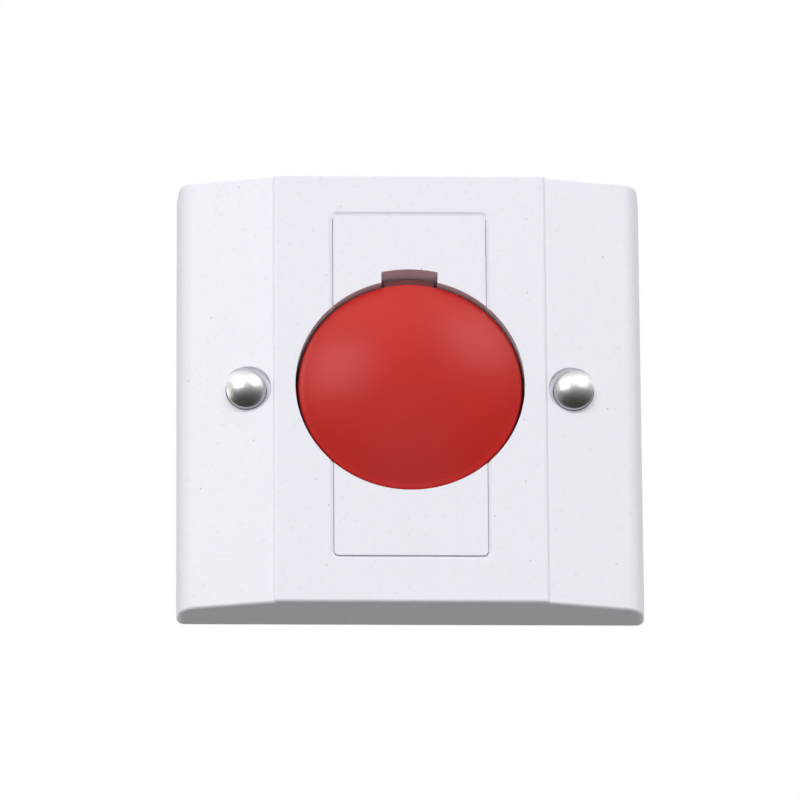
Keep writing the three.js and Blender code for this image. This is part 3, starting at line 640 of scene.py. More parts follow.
def blended(tree, share, first, second):
    """A colour that runs from one to another as a value rises."""
    node = tree.nodes.new("ShaderNodeMix")
    node.data_type = "RGBA"
    for name, kind, value in (("Factor", "VALUE", share), ("A", "RGBA", first), ("B", "RGBA", second)):
        socket = next(s for s in node.inputs if s.name == name and s.type == kind)
        fed(tree, socket, value if isinstance(value, bpy.types.NodeSocket) else (*value, 1.0))
    return next(s for s in node.outputs if s.type == "RGBA")


def bumped(tree, shader, height, strength, depth=2e-5):
    bump = added(tree, "Bump", "Normal", Height=height, Strength=strength, Distance=depth)
    tree.links.new(bump, shader.inputs["Normal"])


def scaled(color, factor):
    return tuple(min(1.0, channel * factor) for channel in color)


def mottled(tree, shader, pattern, span, first, second):
    """The base colour runs from one to another over a span of a pattern."""
    share = ranged(tree, pattern, *span, 0.0, 1.0)
    color = blended(tree, share, first, second)
    tree.links.new(color, shader.inputs["Base Color"])
    return color


def sheened(tree, shader, pattern, low, high):
    """The roughness runs between two values over the middle of a pattern."""
    tree.links.new(ranged(tree, pattern, 0.3, 0.7, low, high), shader.inputs["Roughness"])


def white_plastic(name):
    color = tuple(bpy.context.scene.call_finish.white)
    size = bpy.context.scene.call_finish.grain
    material, tree, shader = surface(name, color, 0.42)
    specks = noise(tree, 0.5 / size, detail=3)
    ground = mottled(tree, shader, specks, (0.60, 0.74), color, scaled(color, 0.93))
    dots = ranged(tree, cells(tree, 260), 0.025, 0.05, 1.0, 0.0)
    tree.links.new(blended(tree, dots, ground, scaled(color, 0.62)), shader.inputs["Base Color"])
    sheened(tree, shader, specks, 0.38, 0.47)
    bumped(tree, shader, noise(tree, 1.0 / size), 0.12)
    return material


def red_plastic(name):
    color = tuple(bpy.context.scene.call_finish.red)
    material, tree, shader = surface(name, color, 0.31)
    shader.inputs["Specular IOR Level"].default_value = 0.2
    mottled(tree, shader, noise(tree, 60, detail=3), (0.35, 0.65), color, scaled(color, 0.94))
    sheened(tree, shader, noise(tree, 1800), 0.28, 0.35)
    bumped(tree, shader, noise(tree, 3200), 0.16)
    return material


def polished_metal(name):
    color = tuple(bpy.context.scene.call_finish.metal)
    material, tree, shader = surface(name, color, 0.34, 1.0)
    streaks = noise(tree, 900, (5.0, 5.0, 0.35), 4)
    mottled(tree, shader, streaks, (0.35, 0.65), color, scaled(color, 0.84))
    sheened(tree, shader, streaks, 0.30, 0.38)
    bumped(tree, shader, streaks, 0.6, 6e-5)
    return material


def zinc_steel(name):
    color = (0.56, 0.57, 0.58)
    material, tree, shader = surface(name, color, 0.36, 1.0)
    cloud = noise(tree, 700, detail=4)
    mottled(tree, shader, cloud, (0.35, 0.7), color, (0.42, 0.43, 0.42))
    sheened(tree, shader, cloud, 0.28, 0.46)
    bumped(tree, shader, noise(tree, 5000, detail=1), 0.1, 1e-5)
    return material


def board(name):
    color = tuple(bpy.context.scene.call_finish.board)
    material, tree, shader = surface(name, color, 0.32)
    mottled(tree, shader, noise(tree, 260, detail=1), (0.48, 0.52), color, scaled(color, 1.35))
    bumped(tree, shader, noise(tree, 2500), 0.08)
    return material


PLAIN = {  # two colours, roughness, size of the clouds and of the grain per metre, strength of the grain
    # The reset tongue's red, darkened and dulled: painted shade of the notch it sits deep in
    "tongue_red_painted_shade": ((0.33, 0.125, 0.13), (0.28, 0.105, 0.11), 0.5, 1500, 3200, 0.15),
    "dark_plastic": ((0.016, 0.018, 0.021), (0.030, 0.032, 0.036), 0.5, 900, 4000, 0.15),
    "terminal_plastic": ((0.025, 0.25, 0.085), (0.020, 0.21, 0.070), 0.42, 500, 3500, 0.12),
    "resistor": ((0.16, 0.35, 0.55), (0.12, 0.28, 0.47), 0.4, 1200, 3500, 0.0),
}


def plain(name):
    """A finish that only runs between two colours, with a fine grain."""
    first, second, roughness, clouds, grain, strength = PLAIN[name.removesuffix("_surface")]
    material, tree, shader = surface(name, first, roughness)
    mottled(tree, shader, noise(tree, clouds), (0.35, 0.7), first, second)
    if strength:
        bumped(tree, shader, noise(tree, grain), strength)
    return material


FINISHES = {
    "white_plastic": white_plastic,
    "red_plastic": red_plastic,
    "polished_metal": polished_metal,
    "zinc_steel": zinc_steel,
    "board": board,
    **dict.fromkeys(PLAIN, plain),
}


# The pieces

def wing_level(x):
    plate = bpy.context.scene.call_plate
    return plate.depth / MM - BAND_STEP - math.tan(plate.slope) * (abs(x) - plate.band / MM / 2)


def mirrored(right):
    return right + [(-corner[0], *corner[1:]) for corner in reversed(right)]


def panel_outline(margin=0.0):
    return rectangle(
        PANEL_WIDTH + 2 * margin, PANEL_HEIGHT + 2 * margin, PANEL_CORNER + max(margin, 0.0), AXIS)


def tub_outline(edge, corner=TUB_CORNER - TUB_WALL):
    """Outline of the box behind the wall, drawn in by an edge."""
    return rectangle(TUB[0] - 2 * edge, TUB[1] - 2 * edge, corner)


def window(margin, opening, low, high):
    return join(prism(panel_outline(margin), low, high), disc(opening, low, high, 0, AXIS, BIG))


class CALL_OT_face_plate(bpy.types.Operator):
    """Face plate: a moulded shell with a raised band, sloped wings and the window for the panel"""

    bl_idname = "call_unit.face_plate"
    bl_label = "Face plate"

    def execute(self, context):
        plate = context.scene.call_plate
        size, depth, band = plate.size / MM, plate.depth / MM, plate.band / MM
        reach = plate.centres / MM / 2
        shoulder = size / 2 - SIDE_DRAFT
        section = rounded(mirrored([
            (size / 2, -CUT, 0),
            (size / 2, 0, 0),
            (shoulder, wing_level(shoulder), SIDE_FILLET),
            (band / 2 + BAND_EDGE, wing_level(band / 2 + BAND_EDGE), BAND_FOOT),
            (band / 2, depth, BAND_SHOULDER),
        ]), 16)
        body = run_up(section, size)
        bevelled(body, lambda a, b: abs(a.z - b.z) < WELD, END_ROUND, 5)
        common(body, prism(rectangle(size, size, plate.corner / MM, steps=10), 0, depth + CUT))

        inside = size / 2 - PLATE_WALL
        inner_shoulder = inside - SIDE_DRAFT
        cavity = run_up(mirrored([
            (inside, -CUT),
            (inside, 0),
            (inner_shoulder, wing_level(inner_shoulder) - PLATE_WALL),
            (band / 2, wing_level(band / 2) - PLATE_WALL),
            (band / 2 - BAND_STEP, depth - PLATE_WALL),
        ]), 2 * inside)
        cut(body, cavity)
        column_top = wing_level(reach) - CUT
        rib_top = wing_level(reach) - PLATE_WALL + CUT
        middle = (inside + COLUMN_DIAMETER / 2) / 2
        span = inside - COLUMN_DIAMETER / 2 + 2 * CUT
        for x in (-reach, reach):
            join(body, disc(COLUMN_DIAMETER, 0, column_top, x, 0))
            for up in (-middle, middle):
                join(body, block(PLATE_RIB, span, rib_top - CUT - PLATE_RIB_HEIGHT, rib_top, x, up))
        boss = SCREW_THREAD + 2 * (GAP + BOSS_WALL)
        boss_end = FLANGE_TOP + GAP
        join(body, *discs(FLANGE_SCREWS, boss, boss_end, depth - PLATE_WALL / 2))
        groove = plate.groove / MM
        cut(body, window(PANEL_GAP, BORE_DIAMETER, 0, depth + CUT))
        widening = 2 * (groove - PANEL_GAP) * (GROOVE_DEPTH + CUT) / GROOVE_DEPTH
        cut(body, prism(
            panel_outline(PANEL_GAP), depth - GROOVE_DEPTH, depth + CUT,
            [1 + widening / (side + 2 * PANEL_GAP) for side in (PANEL_WIDTH, PANEL_HEIGHT)]))
        cut(body, window(groove + SHOULDER + GAP, 2 * (COLLAR_RADIUS + GAP), 0, depth - LIP))
        spot_level = wing_level(reach + CAP_DIAMETER / 2)
        for x in (-reach, reach):
            cut(body,
                disc(SPOT_DIAMETER, spot_level, depth + CUT, x, 0, CAP_SIDES),
                disc(COUNTERBORE_DIAMETER, COUNTERBORE_FLOOR, depth + CUT, x, 0, CAP_SIDES),
                disc(FIXING_THREAD + 2 * GAP, -CUT, depth, x, 0, POST_SIDES))
        top = boss_end + FLANGE_SCREW_LENGTH - FLANGE_THICKNESS
        cut(body, *discs(FLANGE_SCREWS, PILOT, boss_end - CUT, top))
        piece(softened(body, PLATE_ROUND, 3), "plate_shell", "face_plate", "white_plastic")
        return {"FINISHED"}


def ring_slice(outer, inner, width, low, high):
    whole = ring(outer, inner, low, high, 0, AXIS, BIG)
    return common(whole, block(width, outer / 2, low - CUT, high + CUT, 0, AXIS + outer / 4))


def channel(depth):
    """The tongue's channel as a solid, from the floor to the label panel."""
    top = NOTCH_RADIUS + CHANNEL_WALL
    return block(
        NOTCH_WIDTH + 2 * CHANNEL_WALL, top / 2, FLOOR_BOTTOM, depth - PANEL_SKIN / 2, 0, AXIS + top * 0.75)


class CALL_OT_button_housing(bpy.types.Operator):
    """Button housing: label panel, bore, notch with its channel, flange and the box behind the wall"""

    bl_idname = "call_unit.button_housing"
    bl_label = "Button housing"

    def execute(self, context):
        depth = context.scene.call_plate.depth / MM
        groove = context.scene.call_plate.groove / MM
        shoulder = depth - LIP - GAP
        body = prism(rectangle(*FLANGE, PANEL_CORNER * 2), FLANGE_BOTTOM, FLANGE_TOP)
        join(body,
             prism(panel_outline(), FLANGE_BOTTOM, depth),
             prism(panel_outline(groove + SHOULDER), FLANGE_BOTTOM, shoulder))
        pocket = prism(panel_outline(-COLLAR_WALL), FLANGE_BOTTOM - CUT, depth - PANEL_SKIN)
        cut(pocket, disc(2 * COLLAR_RADIUS, FLANGE_BOTTOM - 2 * CUT, depth, 0, AXIS, BIG), channel(depth))
        cut(body, pocket)
        tub = prism(rectangle(*TUB, TUB_CORNER), -TUB_DEPTH, FLOOR_LEVEL)
        cut(tub, prism(tub_outline(TUB_WALL), -TUB_DEPTH - CUT, FLOOR_BOTTOM))
        join(body, disc(2 * COLLAR_RADIUS, FLOOR_BOTTOM, shoulder, 0, AXIS, BIG), channel(depth), tub)
        join(body, *discs(POSTS, POST_DIAMETER, POST_END, FLOOR_BOTTOM + CUT, POST_SIDES))
        cut(body, disc(BORE_DIAMETER, FLOOR_LEVEL, depth + CUT, 0, AXIS, BIG))
        guide = STEM_DIAMETER + 2 * GAP
        guide_top = FLOOR_LEVEL + STEM_GUIDE_HEIGHT
        join(body, disc(guide + 2 * STEM_GUIDE_WALL, FLOOR_BOTTOM, guide_top, 0, AXIS))
        cut(body, disc(guide, FLOOR_BOTTOM - CUT, guide_top + CUT, 0, AXIS))
        lug_low = SKIRT_END - BUTTON_TRAVEL - 2 * GAP
        lug_high = SKIRT_END + LUG_HEIGHT + GAP
        room = LUG_WIDTH + 4 * GAP
        windows = join(
            block(2 * COLLAR_RADIUS + CUT, room, lug_low, lug_high, 0, AXIS),
            block(room, BORE_RADIUS + CUT / 2, lug_low, lug_high, 0, AXIS - COLLAR_RADIUS + BORE_RADIUS / 2))
        cut(windows, disc(BORE_DIAMETER - CUT, lug_low - CUT, lug_high + CUT, 0, AXIS))
        cut(body, windows,
            ring_slice(2 * NOTCH_RADIUS, BORE_DIAMETER - CUT, NOTCH_WIDTH, FLOOR_BOTTOM - CUT, depth + CUT))
        cut(body, *discs(FLANGE_SCREWS, PILOT, FLANGE_BOTTOM - CUT, FLANGE_TOP + CUT))
        cut(body, *discs(POSTS, PILOT, POST_END - CUT, COVER_BOTTOM + COVER_SCREW_LENGTH + CUT))
        piece(softened(body, MOULDED_ROUND, 3), "housing_shell", "button_housing", "white_plastic")
        return {"FINISHED"}


class CALL_OT_push_button(bpy.types.Operator):
    """Push button: a shallow dome on a skirt, with ribs, stem and lugs"""

    bl_idname = "call_unit.push_button"
    bl_label = "Push button"

    def execute(self, context):
        settings = context.scene.call_button
        radius = settings.diameter / MM / 2
        rim = (context.scene.call_plate.depth - settings.recess) / MM
        rise = settings.dome / MM
        inner = radius - SKIRT_WALL
        stem = STEM_DIAMETER / 2
        base = radius - BUTTON_EDGE / 2
        inside = [p for p in dome(base, rim, rise, 24, BUTTON_SKIN, inner) if p[0] > stem]
        run, fall = EDGE_LINES
        corner = (radius, rim + EDGE_LIFT, BUTTON_EDGE)
        edge = rounded([(base - run, rim + fall, 0), corner, (radius, rim - run, 0)], 6)[1:-1]
        top = [p for p in dome(base, rim, rise, 40) if p[0] < edge[0][0] - EDGE_CLEARANCE]
        body = turned(
            [(0, STEM_END), (stem - STEM_CHAMFER, STEM_END), (stem, STEM_END + STEM_CHAMFER)]
            + [(stem, inside[0][1])] + inside
            + [(inner, SKIRT_END), (radius - SKIRT_CHAMFER, SKIRT_END), (radius, SKIRT_END + SKIRT_CHAMFER)]
            + edge[::-1] + top[::-1],
            0, AXIS, BIG)
        wall = inner + SKIRT_WALL / 2
        middle = dome(base, rim, rise, 16, BUTTON_SKIN / 2, wall)[::-1]
        filling = turned([(0, RIB_END), (wall, RIB_END)] + middle, 0, AXIS)
        ribs = join(
            block(2 * radius, BUTTON_RIB, RIB_END, rim + rise + CUT, 0, AXIS),
            block(BUTTON_RIB, 2 * radius, RIB_END, rim + rise + CUT, 0, AXIS))
        join(body, common(ribs, filling))
        level = SKIRT_END + LUG_HEIGHT
        end = radius + LUG_REACH
        lugs = join(
            block(2 * end, LUG_WIDTH, SKIRT_END, level, 0, AXIS),
            block(LUG_WIDTH, end, SKIRT_END, level, 0, AXIS - end / 2))
        join(body, cut(lugs, disc(2 * inner + SKIRT_WALL, SKIRT_END - CUT, level + CUT, 0, AXIS)))
        piece(body, "button_dome", "push_button", "red_plastic", BUTTON_SMOOTH)
        return {"FINISHED"}


class CALL_OT_reset_tongue(bpy.types.Operator):
    """Reset tongue: a curved blade in its channel, with a foot and a peg for its spring"""

    bl_idname = "call_unit.reset_tongue"
    bl_label = "Reset tongue"

    def execute(self, context):
        face = context.scene.call_plate.depth / MM - TONGUE_DROP
        outer = 2 * (NOTCH_RADIUS - GAP)
        body = ring_slice(outer, outer - 2 * TONGUE_THICKNESS, TONGUE_WIDTH, FOOT_BOTTOM, face)
        start = RELEASE_OFFSET - RELEASE[0] / 2
        end = outer / 2 - TONGUE_THICKNESS / 2
        join(body,
             block(FOOT_WIDTH, end - start, FOOT_BOTTOM, FOOT_TOP, 0, AXIS + (end + start) / 2),
             disc(RESET_PEG_DIAMETER, FOOT_BOTTOM - RESET_PEG_LENGTH, FOOT_TOP, 0, RESET_SPRING_UP,
                  PILOT_SIDES))
        softened(body, MOULDED_ROUND, 3)
        # The tongue is the button's red plastic, but its colour is darker and duller: painted shade of the
        # notch
        piece(body, "reset_blade", "reset_tongue", "red_plastic", surface_name="tongue_red_painted_shade")
        return {"FINISHED"}


class CALL_OT_screw_caps(bpy.types.Operator):
    """Screw caps: domed metal plugs over the two fixing screws"""

    bl_idname = "call_unit.screw_caps"
    bl_label = "Screw caps"

    def execute(self, context):
        reach = context.scene.call_plate.centres / MM / 2
        radius = CAP_DIAMETER / 2
        inner = radius - CAP_WALL
        end = COUNTERBORE_FLOOR + 2 * GAP + FIXING_HEAD_HEIGHT
        profile = (
            [(0, CAP_RIM), (inner, CAP_RIM - CAP_WALL), (inner, end), (radius, end)]
            + dome(radius, CAP_RIM, CAP_DOME, 28)[::-1])
        for side, x in (("left", -reach), ("right", reach)):
            piece(turned(profile, x, 0, CAP_SIDES), f"cap_{side}", f"screw_cap_{side}", "polished_metal")
        return {"FINISHED"}


def place_of(node):
    """Middle of a CAD node seen from the front, in millimetres."""
    low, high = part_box(node)
    return (low[0] + high[0]) / 2 / MM, (low[2] + high[2]) / 2 / MM


def ridges(radius, low, high, pitch):
    """Profile of a thread between two levels."""
    root = radius - THREAD_DEPTH * pitch
    count = int((high - low) / pitch)
    points = []
    for i in range(count):
        points += [(root, low + i * pitch), (radius, low + (i + 0.5) * pitch)]
    return points + [(root, low + count * pitch)]


def arc(radius, level, size, start, steps=5):
    """Quarter circle of a profile, from one angle on; 0 points along the radius, 90 degrees points out."""
    angles = [math.radians(start + 90 * i / steps) for i in range(steps + 1)]
    return [(radius + size * math.cos(angle), level + size * math.sin(angle)) for angle in angles]


def slotted_screw(place, seat, head, height, thread, run, pitch):
    """A screw put in from behind, with its slotted head below the seat."""
    edge = height / 3
    radius = thread / 2
    body = turned(
        [(0, seat - height)]
        + arc(head / 2 - edge, seat - height + edge, edge, -90)
        + [(head / 2, seat)]
        + ridges(radius, seat, seat + run - radius, pitch)
        + [(radius / 2, seat + run), (0, seat + run)],
        *place, SLOTTED_SIDES)
    return cut(body, block(head + CUT, SLOT_WIDTH, seat - height - CUT, seat - height + SLOT_DEPTH, *place))


class CALL_OT_fixing_screws(bpy.types.Operator):
    """Fixing screws: cross-recessed wall screws under the caps, with their thread behind the plate"""

    bl_idname = "call_unit.fixing_screws"
    bl_label = "Fixing screws"

    def execute(self, context):
        reach = context.scene.call_plate.centres / MM / 2
        seat = COUNTERBORE_FLOOR + GAP
        end = -FIXING_REACH
        radius = FIXING_THREAD / 2
        face = seat + FIXING_HEAD_HEIGHT
        crown = FIXING_HEAD / 2 - FIXING_CROWN
        profile = (
            [(0, end), (radius / 2, end)]
            + ridges(radius, end + radius, seat - CUT, FIXING_PITCH)
            + [(radius, seat - CUT / 2), (radius, seat)]
            + [(FIXING_HEAD / 2, seat), (FIXING_HEAD / 2, seat + FIXING_EDGE)]
            + arc(crown, seat + FIXING_EDGE, FIXING_CROWN, 0, 8)[1:]
            + [(0, face)])
        for side, x in (("left", -reach), ("right", reach)):
            body = turned(profile, x, 0, SCREW_SIDES)
            for width, height in ((RECESS_REACH, RECESS_WIDTH), (RECESS_WIDTH, RECESS_REACH)):
                cut(body, block(width, height, face - RECESS_DEPTH, face + CUT, x, 0))
            softened(body, RECESS_ROUND)
            piece(body, f"wall_screw_{side}", f"fixing_screw_{side}", "zinc_steel")
        return {"FINISHED"}


class CALL_OT_small_screws(bpy.types.Operator):
    """Small screws: four that hold the housing to the plate and four that hold the rear cover"""

    bl_idname = "call_unit.small_screws"
    bl_label = "Small screws"

    def execute(self, context):
        for i in range(1, 5):
            for node, seat, run in (
                (f"housing_screw_{i}", FLANGE_BOTTOM - GAP, FLANGE_SCREW_LENGTH),
                (f"cover_screw_{i}", COVER_BOTTOM - GAP, COVER_SCREW_LENGTH),
            ):
                body = slotted_screw(
                    place_of(node), seat, SCREW_HEAD, SCREW_HEAD_HEIGHT, SCREW_THREAD, run, SCREW_PITCH)
                piece(body, node.replace("screw", "fastener"), node, "zinc_steel")
        return {"FINISHED"}


class CALL_OT_rear_cover(bpy.types.Operator):
    """Rear cover: a plate with a locating lip, four spacers and the opening for the terminals"""

    bl_idname = "call_unit.rear_cover"
    bl_label = "Rear cover"

    def execute(self, context):
        edge = TUB_WALL + GAP
        lip_end = COVER_TOP + COVER_LIP_HEIGHT
        lip = prism(tub_outline(edge), COVER_TOP - COVER_THICKNESS / 2, lip_end)
        cut(lip, prism(tub_outline(edge + COVER_LIP, COVER_LIP / 2), COVER_BOTTOM, lip_end + CUT))
        body = join(prism(rectangle(*TUB, TUB_CORNER), COVER_BOTTOM, COVER_TOP), lip)
        join(body, *discs(
            POSTS, POST_DIAMETER, COVER_BOTTOM + COVER_THICKNESS / 2, BOARD_BOTTOM - GAP, POST_SIDES))
        cut(body, block(
            WAYS * PITCH + 2 * GAP, TERMINAL_DEPTH + 2 * GAP, COVER_BOTTOM - CUT, COVER_TOP + CUT,
            0, TERMINAL_UP))
        cut(body, *discs(POSTS, PILOT, COVER_BOTTOM - CUT, BOARD_BOTTOM + CUT))
        piece(softened(body, COVER_ROUND, 4), "cover_plate", "rear_cover", "white_plastic")
        return {"FINISHED"}


class CALL_OT_terminals(bpy.types.Operator):
    """Terminals: the block for the wires, with a bent metal clamp and a slotted screw in every way"""

    bl_idname = "call_unit.terminals"
    bl_label = "Terminals"

    def execute(self, context):
        head, height, run = TERMINAL_SCREW
        middle = WIRE_HOLE_LOW + WIRE_HOLE / 2
        body = block(WAYS * PITCH, TERMINAL_DEPTH, TERMINAL_BOTTOM, TERMINAL_TOP, 0, TERMINAL_UP)
        places = [(way - (WAYS - 1) / 2) * PITCH for way in range(WAYS)]
        for x in places:
            cut(body,
                block(WIRE_HOLE, WIRE_HOLE_DEPTH + CUT, WIRE_HOLE_LOW, WIRE_HOLE_LOW + WIRE_HOLE,
                      x, TERMINAL_FRONT + (WIRE_HOLE_DEPTH - CUT) / 2),
                disc(head + 2 * GAP, TERMINAL_BOTTOM - CUT, middle, x, TERMINAL_UP, POST_SIDES))
        for x in places[:-1]:
            cut(body, block(
                MOULD_LINE, TERMINAL_DEPTH + CUT, TERMINAL_BOTTOM - CUT, TERMINAL_BOTTOM + MOULD_LINE,
                x + PITCH / 2, TERMINAL_UP))
        piece(softened(body, MOULDED_ROUND, 3), "wire_block", "terminal_block", "terminal_plastic")
        outer = WIRE_HOLE - GAP
        inner = outer - 2 * CLAMP_WALL
        depth = WIRE_HOLE_DEPTH - head
        up = TERMINAL_FRONT + depth / 2 + GAP
        for way, x in enumerate(places, 1):
            clamp = cut(
                block(outer, depth, middle - outer / 2, middle + outer / 2, x, up),
                block(inner, depth + CUT, middle - inner / 2, middle + inner / 2, x, up))
            softened(clamp, SMALL_ROUND, 3)
            piece(clamp, f"wire_clamp_{way}", f"terminal_clamp_{way}", "zinc_steel")
            seat = TERMINAL_BOTTOM + height + GAP
            screw = slotted_screw((x, TERMINAL_UP), seat, head, height, head / 2, run, SCREW_PITCH / 2)
            piece(screw, f"wire_screw_{way}", f"terminal_screw_{way}", "zinc_steel")
        return {"FINISHED"}


def coil(name, node, low, high, size, wire, turns, place):
    """A compression spring with closed ends, swept along its centre line."""
    length = high - low - wire
    closed_pitch = wire * CLOSED_PITCH
    open_pitch = (length - 2 * closed_pitch) / (turns - 2)
    points = []
    for step in range(turns * COIL_STEPS + 1):
        done = step / COIL_STEPS
        level = (
            closed_pitch * min(done, 1)
            + open_pitch * min(max(done - 1, 0), turns - 2)
            + closed_pitch * max(done - turns + 1, 0))
        angle = 2 * math.pi * done
        points.append(front(
            place[0] + size / 2 * math.cos(angle), place[1] + size / 2 * math.sin(angle),
            low + wire / 2 + level))
    draw(points, filled=False)
    enter("OBJECT")
    bpy.ops.object.convert(target="CURVE")
    line = bpy.context.object.data
    line.bevel_depth = wire / 2
    line.bevel_resolution = 4
    line.use_fill_caps = True
    bpy.ops.object.convert(target="MESH")
    enter("EDIT")
    return piece(closed(), name, node, "zinc_steel")


class CALL_OT_springs(bpy.types.Operator):
    """Springs: the return spring under the button and the spring under the reset tongue"""

    bl_idname = "call_unit.springs"
    bl_label = "Springs"

    def execute(self, context):
        for name, node, low, high, shape, place, joint, travel in (
            ("return_coil", "return_spring", FLOOR_LEVEL + GAP, RIB_END - GAP,
             (RETURN_COIL, RETURN_WIRE, RETURN_TURNS), (0, AXIS), "button_press", BUTTON_TRAVEL),
            ("reset_coil", "reset_spring", BOARD_TOP + GAP, FOOT_BOTTOM - GAP,
             (RESET_COIL, RESET_WIRE, RESET_TURNS), (0, RESET_SPRING_UP), "reset_press", TONGUE_TRAVEL),
        ):
            spring = coil(name, node, low, high, *shape, place)
            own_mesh(spring)
        return {"FINISHED"}


class CALL_OT_switch(bpy.types.Operator):
    """Latching switch: its body, the two keys that the button and the tongue press, and its pins"""

    bl_idname = "call_unit.switch"
    bl_label = "Switch"

    def execute(self, context):
        keys = (
            ("plunger_key", "switch_plunger", PLUNGER, BUTTON_TRAVEL, STEM_END - GAP, AXIS,
             "white_plastic"),
            ("release_key", "switch_release", RELEASE, TONGUE_TRAVEL, FOOT_BOTTOM - GAP,
             AXIS + RELEASE_OFFSET, "red_plastic"),
        )
        body = prism(rectangle(*SWITCH, SWITCH_CORNER, SWITCH_UP), SWITCH_BOTTOM, SWITCH_TOP)
        for _, _, (width, run), travel, level, up, _ in keys:
            cut(body, disc(width + 2 * GAP, level - run - travel - GAP, 0, 0, up, POST_SIDES))
        seam = SWITCH_TOP - SWITCH_HEIGHT / 3
        wide, tall = SWITCH
        belt = prism(
            rectangle(wide + CUT, tall + CUT, SWITCH_CORNER, SWITCH_UP), seam, seam + MOULD_LINE)
        cut(belt, prism(
            rectangle(wide - MOULD_LINE, tall - MOULD_LINE, SWITCH_CORNER * 0.8, SWITCH_UP),
            seam - CUT, seam + CUT))
        cut(body, belt)
        piece(softened(body, SMALL_ROUND, 3), "switch_case", "switch_body", "dark_plastic")
        for name, node, (width, run), _, level, up, finish in keys:
            edge = width / 8
            profile = (
                [(0, level - run), (width / 2, level - run), (width / 2, level - edge)]
                + arc(width / 2 - edge, level - edge, edge, 0)[1:] + [(0, level)])
            piece(turned(profile, 0, up, POST_SIDES), name, node, finish)
        for i in range(1, 5):
            node = f"switch_pin_{i}"
            pin_top = SWITCH_BOTTOM - GAP / 2
            x, up = place_of(node)
            pin = block(PIN[0], PIN[1], pin_top - PIN[2], pin_top, x, up)
            piece(softened(pin, PIN_ROUND, 3), f"contact_pin_{i}", node, "zinc_steel")
        return {"FINISHED"}


def lying(diameter, run, x, up, level, sides):
    """A cylinder along x at a level."""
    alone()
    bpy.ops.mesh.primitive_cylinder_add(
        vertices=sides, radius=diameter / 2, depth=run, location=front(x, up, level),
        rotation=(0, math.pi / 2, 0))
    return applied()


def board_holes():
    """Diameter and place of every hole in the board."""
    holes = [(PILOT, place) for place in corner_places(*POSTS)]
    holes += [(math.hypot(*PIN[:2]) + 2 * GAP, place_of(f"switch_pin_{i}")) for i in range(1, 5)]
    return holes + [
        (RESISTOR_LEAD + 2 * GAP, (x + side * RESISTOR_SPAN / 2, up))
        for x, up in RESISTOR_PLACES for side in (-1, 1)]


def chip_leg(x, up, side, low):
    """A leg that leaves the chip's side, bends down and ends along the board."""
    middle = up + side * (CHIP[1] / 2 - CHIP_LEG * 0.75)
    foot = up + side * (CHIP[1] / 2 - CHIP_LEG * 0.3)
    top = low + LEG_TOP
    return join(
        block(LEG_WIDTH, CHIP_LEG, top - LEG_THICKNESS, top, x, middle),
        block(LEG_WIDTH, LEG_THICKNESS, low, top, x, middle + side * CHIP_LEG * 0.4),
        block(LEG_WIDTH, CHIP_LEG * 0.6, low, low + LEG_THICKNESS, x, foot))


class CALL_OT_circuit(bpy.types.Operator):
    """Circuit: the board with its drilled holes, the chip with its legs, the capacitor and the resistors"""

    bl_idname = "call_unit.circuit"
    bl_label = "Circuit"

    def execute(self, context):
        body = prism(tub_outline(TUB_WALL + BOARD_MARGIN), BOARD_BOTTOM, BOARD_TOP)
        for size, place in board_holes():
            cut(body, disc(size, BOARD_BOTTOM - CUT, BOARD_TOP + CUT, *place, PILOT_SIDES))
        piece(softened(body, BOARD_ROUND), "drilled_board", "circuit_board", "board")

        low = BOARD_TOP + GAP
        x, up = CHIP_PLACE
        width, height, thickness = CHIP
        mark, deep, inset = CHIP_MARK
        top = low + thickness
        chip = block(width, height - 2 * CHIP_LEG, low + CHIP_LIFT, top, x, up)
        cut(chip, disc(mark, top - deep, top + CUT, x - width / 2 + inset, up, PILOT_SIDES))
        piece(softened(chip, MOULDED_ROUND, 3), "chip_body", "controller_chip", "dark_plastic")
        legs = [
            chip_leg(x + (i - (CHIP_LEGS - 1) / 2) * CHIP_PITCH, up, side, low)
            for i in range(CHIP_LEGS) for side in (-1, 1)]
        in_place(join(*legs), "chip_legs", "controller_chip", "zinc_steel")

        radius, height = CAPACITOR[0] / 2, CAPACITOR[1]
        groove = height / 5
        can = (
            [(0, low)]
            + arc(radius - CAN_FOOT, low + CAN_FOOT, CAN_FOOT, -90)
            + [(radius, low + groove), (radius * CAN_WAIST, low + groove * 1.3), (radius, low + groove * 1.6)]
            + arc(radius - CAN_ROUND, low + height - CAN_ROUND, CAN_ROUND, 0)
            + [(0, low + height)])
        piece(turned(can, *CAPACITOR_PLACE, SCREW_SIDES), "capacitor_can", "capacitor", "dark_plastic")

        level = low + RESISTOR_DIAMETER / 2
        end = (RESISTOR_DIAMETER * RESISTOR_END, RESISTOR_LENGTH / 5)
        for i, (x, up) in enumerate(RESISTOR_PLACES, 1):
            barrel = lying(RESISTOR_DIAMETER, RESISTOR_LENGTH, x, up, level, POST_SIDES)
            lead = lying(RESISTOR_LEAD, RESISTOR_SPAN + RESISTOR_LEAD, x, up, level, LEAD_SIDES)
            for side in (-1, 1):
                join(barrel, lying(*end, x + side * RESISTOR_LENGTH * 0.4, up, level, POST_SIDES))
                bend = x + side * RESISTOR_SPAN / 2
                join(lead, disc(RESISTOR_LEAD, BOARD_BOTTOM - CUT, level, bend, up, LEAD_SIDES))
            cut(lead, lying(RESISTOR_DIAMETER, RESISTOR_LENGTH * 0.98, x, up, level, POST_SIDES))
            piece(softened(barrel, RESISTOR_ROUND, 4), f"resistor_body_{i}", f"resistor_{i}", "resistor")
            in_place(lead, f"resistor_leads_{i}", f"resistor_{i}", "zinc_steel")
        return {"FINISHED"}


